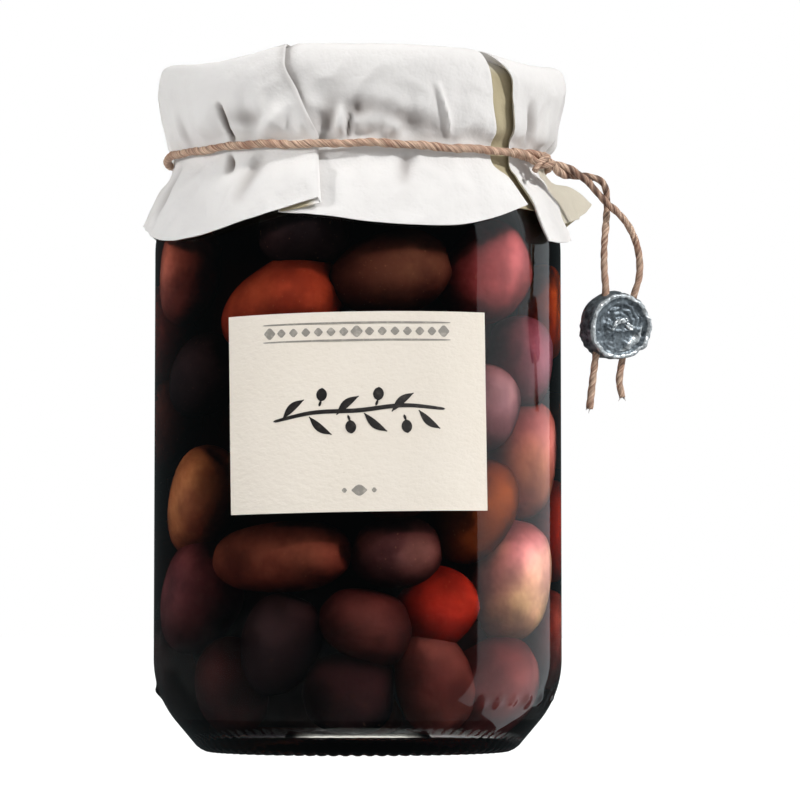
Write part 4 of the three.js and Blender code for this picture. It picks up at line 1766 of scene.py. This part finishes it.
@dataclass
class LeadSeal:
    """The seal: lead pressed round the two tails, its rim squeezed up and its outline uneven."""

    radius: float = 7.1
    thick: float = 5.0
    rim: float = 1.3
    centre: Triple = (52.4, -14, 86.6)
    turn: float = 28.0
    nod: float = 8.0
    sides: int = 168
    nicks: tuple[Triple, ...] = (
        (-0.75, 0.1, -0.05), (-0.58, 0.12, 0.035), (1.45, 0.3, 0.03), (2.5, 0.16, 0.025),
        (0.75, 0.2, 0.02),
    )
    leaves: tuple[tuple[float, float, float, float], ...] = (
        (-1.2, 0.5, 0.9, 1.5), (0.6, 1.3, 0.35, 1.6), (2.1, 0.2, -0.5, 1.5),
    )

    def _swell(self, turn: Array) -> Array:
        """Returns the outline's radius at each angle, as a share of the plain one."""
        nicks = sum(depth * np.exp(-(((turn - at + math.pi) % (2 * math.pi) - math.pi) / wide) ** 2)
                    for at, wide, depth in self.nicks)
        return (1 + 0.05 * np.cos(2 * turn) + 0.025 * np.cos(3 * turn + 1)
                + 0.008 * np.cos(7 * turn) + nicks)

    def _relief(self, x: Array, y: Array) -> Array:
        """Height of the pressed face: a plain sprig with three leaves, rings and a low ledge.

        Args:
            x: Places across the face.
            y: Places up the face.

        Returns:
            One height for each place.
        """
        height = np.zeros_like(x)
        for u, v, lean, long in self.leaves:
            along = (x - u) * math.cos(lean) + (y - v) * math.sin(lean)
            across = -(x - u) * math.sin(lean) + (y - v) * math.cos(lean)
            inside = 1 - (along / long) ** 2 - (across / 0.62) ** 2
            vein = np.exp(-(across / 0.14) ** 2) * (inside > 0)
            height += 0.5 * np.clip(inside, 0, 1) ** 0.6 - 0.16 * vein
        stem = np.exp(-((y + 0.9 - 0.064 * x * x) / 0.24) ** 2) * (np.abs(x) < 3)
        height += 0.28 * stem
        away = np.hypot(x + 0.3, y - 0.6)
        height += 0.13 * np.cos(2 * math.pi * away / 1.05) * np.clip(0.4 + y / 4, 0, 1)
        ledge = 1 / (1 + np.exp(-6 * (x * 0.75 - y * 0.65 - 3.3)))
        return height + 0.32 * ledge

    def build(self, material: Material) -> Piece:
        """Makes the seal.

        Args:
            material: Its finish.

        Returns:
            The piece.
        """
        half = self.thick / 2
        inner = (self.radius - self.rim) / self.radius
        face = [(share, half - 0.75) for share in np.linspace(0.02, inner - 0.1, 34)]
        edge = [(inner - 0.05, half - 0.7), (inner, half - 0.45), (inner + 0.04, half - 0.1),
                (inner + 0.08, half), (inner + 0.12, half - 0.05), (0.93, half - 0.1),
                (0.965, half - 0.3), (0.99, half - 0.7), (1.0, half - 1.2), (0.985, half - 1.7),
                (1.0, half - 2.1), (1.01, 0.9 - half), (0.99, 0.4 - half), (0.95, 0.1 - half),
                (0.86, -half), (0.6, -half + 0.1), (0.3, -half), (0.02, -half)]
        profile = np.array([*face, *edge])
        around = np.arange(self.sides) * 2 * math.pi / self.sides
        share, z = profile[:, :1], np.repeat(profile[:, 1:], self.sides, axis=1)
        out = share * self.radius * (1 + (self._swell(around) - 1) * share**2)
        x, y = out * np.cos(around), out * np.sin(around)
        pressed = (np.arange(len(profile)) < len(face))[:, None]
        z = z + pressed * self._relief(x, y)
        points = np.stack([x, y, z], axis=-1).reshape(-1, 3)
        points += 0.1 * waves(points, 8, 2.6)[:, None] * (0.4, 0.4, 1)
        points += 0.05 * waves(points, 9, 1.1)[:, None]
        # Polish from rubbing and a painted highlight: the raised rim and the top of the pressed face.
        raised = np.abs(share - inner - 0.08) < 0.075
        rub = np.where(raised, 0.42, 0.0) + np.clip((z - half + 0.62) / 0.5, 0, 1) * pressed
        upright = rotated(points, 1, 2, math.radians(90 + self.nod))
        placed = rotated(upright, 0, 1, math.radians(self.turn)) + self.centre
        faces = grid_faces(len(profile), self.sides, wrap=True)
        faces += end_faces(len(profile), self.sides)
        surface = Surface().add(placed, faces, rub=np.broadcast_to(rub, z.shape).ravel())
        return place(surface.build("seal_lead", material, crisp=50), "lead", "lead_seal")


class Stroke(Enum):
    """How a line of ink swells: a steady pen, a leaf or a fruit."""

    PEN = 0.18
    LEAF = 1.0
    FRUIT = 0.5


@dataclass
class Label:
    """The label, its printed rule and mark, and the sprig drawn across it."""

    form: JarForm
    width: float = 54.0
    height: float = 39.2
    foot: float = 48.0
    thick: float = 0.22
    seat: float = 0.03
    tilt: float = 1.0
    ink_rise: float = 0.07
    rule_reach: float = 19.0
    rule_heights: Pair = (14.0, 17.4)
    rule_width: float = 0.4
    lozenge_height: float = 15.7
    lozenge_step: float = 2.5
    mark_height: float = -15.4

    def _wrap(self, u: Array, v: Array, out: Array) -> Array:
        """Bends flat places round the jar.

        Args:
            u: Millimetres to the right of the label's middle.
            v: Millimetres above it.
            out: Distance from the glass.

        Returns:
            The points.
        """
        turn = math.radians(self.tilt)
        across, up = u * math.cos(turn) - v * math.sin(turn), u * math.sin(turn) + v * math.cos(turn)
        radius = self.form.body_radius + self.seat + out
        azimuth = np.degrees(across / self.form.body_radius)
        return polar(azimuth, radius, self.foot + self.height / 2 + up)

    def _slab(self, u: Array, v: Array, low: float, high: Array) -> Surface:
        """A thin closed slab over a grid of flat places.

        Args:
            u: Millimetres to the right of the label's middle.
            v: Millimetres above it.
            low: Distance of its under face from the glass.
            high: Distances of its upper face.

        Returns:
            The surface.
        """
        rows, columns = u.shape
        count = rows * columns
        top, under = self._wrap(u, v, high), self._wrap(u, v, np.full_like(u, low))
        faces = grid_faces(rows, columns) + [
            face[::-1] for face in grid_faces(rows, columns, start=count)]
        rim = ([(0, c) for c in range(columns)] + [(r, columns - 1) for r in range(1, rows)]
               + [(rows - 1, c) for c in range(columns - 2, -1, -1)]
               + [(r, 0) for r in range(rows - 2, 0, -1)])
        ids = [r * columns + c for r, c in rim]
        faces += [[a, b, b + count, a + count] for a, b in zip(ids, ids[1:] + ids[:1])]
        return Surface().add(np.concatenate([top.reshape(-1, 3), under.reshape(-1, 3)]), faces)

    def _stroke(self, points: Sequence[Pair], width: float, kind: Stroke) -> Surface:
        """A line of ink.

        Args:
            points: Places that it passes, in millimetres from the label's middle.
            width: Its greatest width.
            kind: How it swells.

        Returns:
            The surface.
        """
        line = smooth_route([(u, v, 0) for u, v in points], 0.35)[:, :2]
        way = np.gradient(line, axis=0)
        square = np.stack([-way[:, 1], way[:, 0]], axis=1)
        square /= np.linalg.norm(square, axis=1, keepdims=True)
        along = np.linspace(0, 1, len(line))
        swell = np.maximum(np.sin(math.pi * along), 0) ** kind.value
        half = width / 2 * np.maximum(swell, 0.12)
        across = np.linspace(-1, 1, 7)
        grid = line[:, None] + square[:, None] * (half[:, None] * across)[..., None]
        top = np.full(grid.shape[:2], self.thick + self.ink_rise)
        return self._slab(grid[..., 0], grid[..., 1], self.thick - 0.05, top)

    def _sprig(self) -> Surface:
        """Returns the drawn sprig: a bowed stem with leaves and four fruits."""
        ink = self._stroke([(-17, -1.6), (-9, -0.1), (0, 0.2), (9, 1.1), (17.5, 0.4)], 0.85,
                           Stroke.PEN)
        for i in range(6):
            u = -15 + 5.4 * i
            v = -1.1 + 0.25 * i
            side = 1 if i % 2 == 0 else -1
            ink.join(self._stroke([(u, v), (u + 2.1, v + side * 2.3), (u + 4.4, v + side * 3.6)],
                                  1.5, Stroke.LEAF))
        for u, side in ((-7.6, 1), (-2, -1), (3.5, 1), (9, -1)):
            v = 0.2 + side * 0.9
            ink.join(self._stroke([(u, v), (u + 0.4, v + side * 1.1)], 0.5, Stroke.PEN))
            ink.join(self._stroke([(u + 0.4, v + side * 1.0), (u + 0.7, v + side * 3.6)], 2.1,
                                  Stroke.FRUIT))
        return ink

    def _rule(self) -> Surface:
        """Returns the printed rule: a band of small lozenges between two fine lines."""
        ink = Surface()
        for v in self.rule_heights:
            line = [(u, v) for u in (-self.rule_reach, 0, self.rule_reach)]
            ink.join(self._stroke(line, self.rule_width, Stroke.PEN))
        for number in range(-7, 8):
            wide = 2.3 if number % 7 == 0 else 1.7
            ink.join(self._spot(number * self.lozenge_step, self.lozenge_height, wide, wide,
                                Stroke.LEAF))
        return ink

    def _spot(self, u: float, v: float, length: float, width: float, kind: Stroke) -> Surface:
        """Returns a short level stroke about its middle."""
        return self._stroke([(u - length / 2, v), (u + length / 2, v)], width, kind)

    def _mark(self) -> Surface:
        """Returns the small printed mark: a lozenge between two dots."""
        ink = self._spot(0, self.mark_height, 3.0, 2.2, Stroke.LEAF)
        for u in (-2.9, 2.9):
            ink.join(self._spot(u, self.mark_height, 1.0, 1.0, Stroke.FRUIT))
        return ink

    def build(self, paper: Material, drawn: Material, printed: Material) -> None:
        """Makes the label and its inks.

        Args:
            paper: Finish of the label.
            drawn: Ink of the sprig.
            printed: Ink of the rule and the mark.
        """
        u, v = np.meshgrid(np.linspace(-0.5, 0.5, 91) * self.width,
                           np.linspace(-0.5, 0.5, 61) * self.height)
        ripple = 0.03 * waves(np.stack([u, v, 0 * u], axis=-1), 4, 15.0)
        lift = self.thick + np.clip(ripple, -0.02, 0.06)
        sheet = self._slab(u, v, 0.0, lift)
        place(sheet.build("label_sheet", paper, crisp=50), "label_paper", "label")
        place(self._sprig().build("label_sprig", drawn, crisp=50), "label_paper")
        place(self._rule().join(self._mark()).build("label_print", printed, crisp=50), "label_paper")


class Lid:
    """The lid under the paper, which keeps its solid."""

    def build(self, material: Material) -> None:
        """Gives the lid its finish.

        Args:
            material: The finish.
        """
        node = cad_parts["lid"]
        node.data.materials.clear()
        node.data.materials.append(material)
        LOG.info("lid: finished")


@dataclass
class Studio:
    """The camera, the floor and the lights."""

    distance: float = 0.755
    eye: float = 0.0261
    lens: float = 164.4
    pitch: float = 3.51
    swing: float = -0.66
    key_energy: float = 2.85
    key_spread: float = 1.2
    key_azimuth: float = 50.0
    key_elevation: float = 38.0
    jar_middle: Pair = (0.0, 0.07)
    cover_aim: Pair = (-0.012, 0.135)
    spot_elevation: float = 14.0
    spot_away: float = 0.8
    spot_spread: float = 7.5
    spot_size: float = 0.12
    card_away: float = 0.9
    card_azimuths: Pair = (68.5, 135.5)
    card_heights: Pair = (-0.7, 0.9)
    card_glow: float = 0.75
    under_half: float = 0.014
    under_span: Pair = (-0.0275, 0.02)
    under_height: float = 0.0003
    under_glow: float = 1.3
    floor_reach: float = 6.0
    floor_glow: float = 1.22
    dim_tone: tuple[float, float, float, float] = (0.8, 0.98, 1.03, 1.0)
    dim_strength: float = 0.035

    def camera(self) -> None:
        """Makes the camera of the photograph."""
        data = bpy.data.cameras.new("camera")
        data.lens = self.lens
        data.sensor_width = 36.0
        data.clip_start = 0.01
        made = linked("camera", data)
        made.location = (AXIS_X * MM, -self.distance, self.eye)
        made.rotation_euler = (math.radians(90 + self.pitch), 0, math.radians(self.swing))
        bpy.context.scene.camera = made

    def _aim(self, lamp: Piece, azimuth: float, elevation: float, away: float, aim: Triple) -> None:
        """Places a lamp and turns it to a point.

        Args:
            lamp: The lamp.
            azimuth: Degrees to the right of the front.
            elevation: Degrees above level.
            away: Distance from the point, in metres.
            aim: The point, in metres from the foot of the jar's axis.
        """
        turn, rise = math.radians(azimuth), math.radians(elevation)
        lamp.location = (AXIS_X * MM + aim[0] + away * math.cos(rise) * math.sin(turn),
                         aim[1] - away * math.cos(rise) * math.cos(turn),
                         aim[2] + away * math.sin(rise))
        lamp.rotation_euler = (math.pi / 2 - rise, 0, turn)

    def _area(self, name: str, azimuth: float, elevation: float, away: float,
              size: Pair, radiance: float) -> None:
        """Makes an area lamp that is aimed at the jar and that no reflection shows.

        Args:
            name: Name of the lamp.
            azimuth: Degrees to the right of the front.
            elevation: Degrees above level.
            away: Distance in metres.
            size: Width and height in metres.
            radiance: Brightness of its face.
        """
        data = bpy.data.lights.new(name, "AREA")
        data.shape = "RECTANGLE"
        data.size, data.size_y = size
        data.energy = radiance * math.pi * size[0] * size[1]
        made = linked(name, data)
        self._aim(made, azimuth, elevation, away, (0.0, *self.jar_middle))
        made.visible_glossy = False
        made.visible_camera = False
        made.visible_transmission = False

    def _sun(self) -> None:
        """Makes the hard key light from the right."""
        data = bpy.data.lights.new("key", "SUN")
        data.energy = self.key_energy
        data.angle = math.radians(self.key_spread)
        made = linked("key", data)
        made.rotation_euler = (
            math.radians(90 - self.key_elevation), 0, math.radians(self.key_azimuth))

    def _cover_spot(self, name: str, azimuth: float, side: float, energy: float) -> None:
        """Makes a small lamp that lifts one side of the cover out of the shade.

        Args:
            name: Name of the lamp.
            azimuth: Degrees to the right of the front.
            side: How far right of the axis it aims, in metres.
            energy: Its power.
        """
        data = bpy.data.lights.new(name, "SPOT")
        data.energy = energy
        data.shadow_soft_size = self.spot_size
        data.spot_size = math.radians(self.spot_spread)
        data.spot_blend = 1.0
        made = linked(name, data)
        self._aim(made, azimuth, self.spot_elevation, self.spot_away, (side, *self.cover_aim))
        made.visible_glossy = False
        made.visible_transmission = False

    def _plane(self, name: str, corners: Sequence[Triple], material: Material) -> Piece:
        """A plain face on the stage.

        Args:
            name: Its name.
            corners: Its four corners in order, in metres.
            material: Its finish.

        Returns:
            The face.
        """
        mesh = bpy.data.meshes.new(name)
        mesh.from_pydata(corners, [], [(0, 1, 2, 3)])
        mesh.materials.append(material)
        made = linked(name, mesh)
        return made

    def _card(self) -> None:
        """Makes the bright card at the right, which only reflections show."""
        recipe = Recipe("card_glow")
        glow = recipe.node("ShaderNodeEmission", {},
                           {"Color": (0.93, 1.0, 1.04), "Strength": self.card_glow})
        near, far = (
            (AXIS_X * MM + self.card_away * math.sin(turn), -self.card_away * math.cos(turn))
            for turn in map(math.radians, self.card_azimuths))
        low, high = self.card_heights
        corners = [(*near, low), (*far, low), (*far, high), (*near, high)]
        card = self._plane("reflector_card", corners, recipe.finish(glow))
        card.visible_camera = False
        card.visible_diffuse = False
        card.visible_transmission = False
        card.visible_shadow = False

    def _under_glow(self) -> None:
        """Makes the strip of light that the push-up shows through the front of the base."""
        recipe = Recipe("under_glow")
        across = recipe.node("ShaderNodeSeparateXYZ", {}, {0: recipe.space()})
        faded = 1.0 - (across - AXIS_X * MM).size().rise(0.007, 0.013)
        glow = recipe.node("ShaderNodeEmission", {},
                           {"Color": (1.0, 0.98, 0.9), "Strength": faded * self.under_glow})
        left, right = (AXIS_X * MM + side for side in (-self.under_half, self.under_half))
        low, high = self.under_span
        corners = [(x, y, self.under_height)
                   for x, y in ((left, low), (right, low), (right, high), (left, high))]
        card = self._plane("under_glow", corners, recipe.finish(glow))
        card.visible_diffuse = False

    def _floor(self) -> None:
        """Makes the pale floor."""
        recipe = Recipe("floor_white")
        seen = recipe.node("ShaderNodeLightPath", output="Is Camera Ray")
        plain = recipe.node("ShaderNodeBsdfDiffuse", {}, {"Color": (0.75, 0.75, 0.75)})
        glow = recipe.node("ShaderNodeEmission", {},
                           {"Color": (1.0, 1.0, 1.0), "Strength": self.floor_glow})
        surface = recipe.node("ShaderNodeMixShader", {}, {0: seen * 0.85, 1: plain, 2: glow})
        reach = self.floor_reach
        corners = [(-reach, -reach, 0), (reach, -reach, 0), (reach, reach, 0), (-reach, reach, 0)]
        floor = self._plane("floor", corners, recipe.finish(surface))
        floor.visible_glossy = False

    def _world(self) -> None:
        """Makes the surroundings: white to the camera, dim to everything else."""
        world = bpy.data.worlds.new("surroundings")
        world.use_nodes = True
        tree = world.node_tree
        tree.nodes.clear()
        path = tree.nodes.new("ShaderNodeLightPath")
        dim, bright = (tree.nodes.new("ShaderNodeBackground") for _ in range(2))
        dim.inputs["Color"].default_value = self.dim_tone
        dim.inputs["Strength"].default_value = self.dim_strength
        bright.inputs["Color"].default_value = (1.0, 1.0, 1.0, 1.0)
        blend = tree.nodes.new("ShaderNodeMixShader")
        tree.links.new(path.outputs["Is Camera Ray"], blend.inputs[0])
        tree.links.new(dim.outputs[0], blend.inputs[1])
        tree.links.new(bright.outputs[0], blend.inputs[2])
        out = tree.nodes.new("ShaderNodeOutputWorld")
        tree.links.new(blend.outputs[0], out.inputs["Surface"])
        bpy.context.scene.world = world

    def light(self) -> None:
        """Makes the floor, the surroundings and the lights, and sets plain tones."""
        self._world()
        self._floor()
        self._card()
        self._sun()
        self._area("fill_left", -42, 18, 1.4, (1.1, 1.0), 0.42)
        self._area("fill_front", 12, 30, 1.5, (0.9, 0.7), 1.0)
        self._area("fill_top", 0, 80, 1.2, (1.2, 1.2), 0.7)
        self._area("fill_back", 170, 35, 1.5, (1.4, 1.0), 0.8)
        self._cover_spot("cover_left", -72, -0.03, 160.0)
        self._cover_spot("cover_right", 96, 0.035, 44.0)
        self._under_glow()
        scene = bpy.context.scene
        scene.view_settings.view_transform = "Standard"
        scene.view_settings.look = "None"
        scene.cycles.max_bounces = 16
        scene.cycles.transmission_bounces = 12
        scene.cycles.transparent_max_bounces = 12
        scene.cycles.use_denoising = True


def main() -> None:
    """Builds the camera and the twine first, then the rest."""
    logging.basicConfig(level=logging.INFO, format="%(message)s")
    studio = Studio()
    studio.camera()
    cover = PaperCover()
    seal = LeadSeal().build(PressedLead().build())
    Twine(cover).build(seal, TwineFibre().build())
    form = JarForm()
    glass = ClearGlass()
    GlassJar(form).build(glass.build("clear_glass"), glass.build("clear_glass_inside", still=True))
    BrineFill(form).build(Brine().build())
    OliveHeap(form).build(OliveSkin().build(), HeapCore().build())
    cover.build(CoverPaper().build())
    drawn = Ink("drawn_ink", tint(28, 25, 24), tint(62, 56, 52))
    printed = Ink("printed_ink", tint(138, 133, 126), tint(176, 170, 160))
    Label(form).build(LabelPaper().build(), drawn.build(), printed.build())
    Lid().build(Tinplate().build())
    studio.light()


if __name__ == "__main__":
    main()
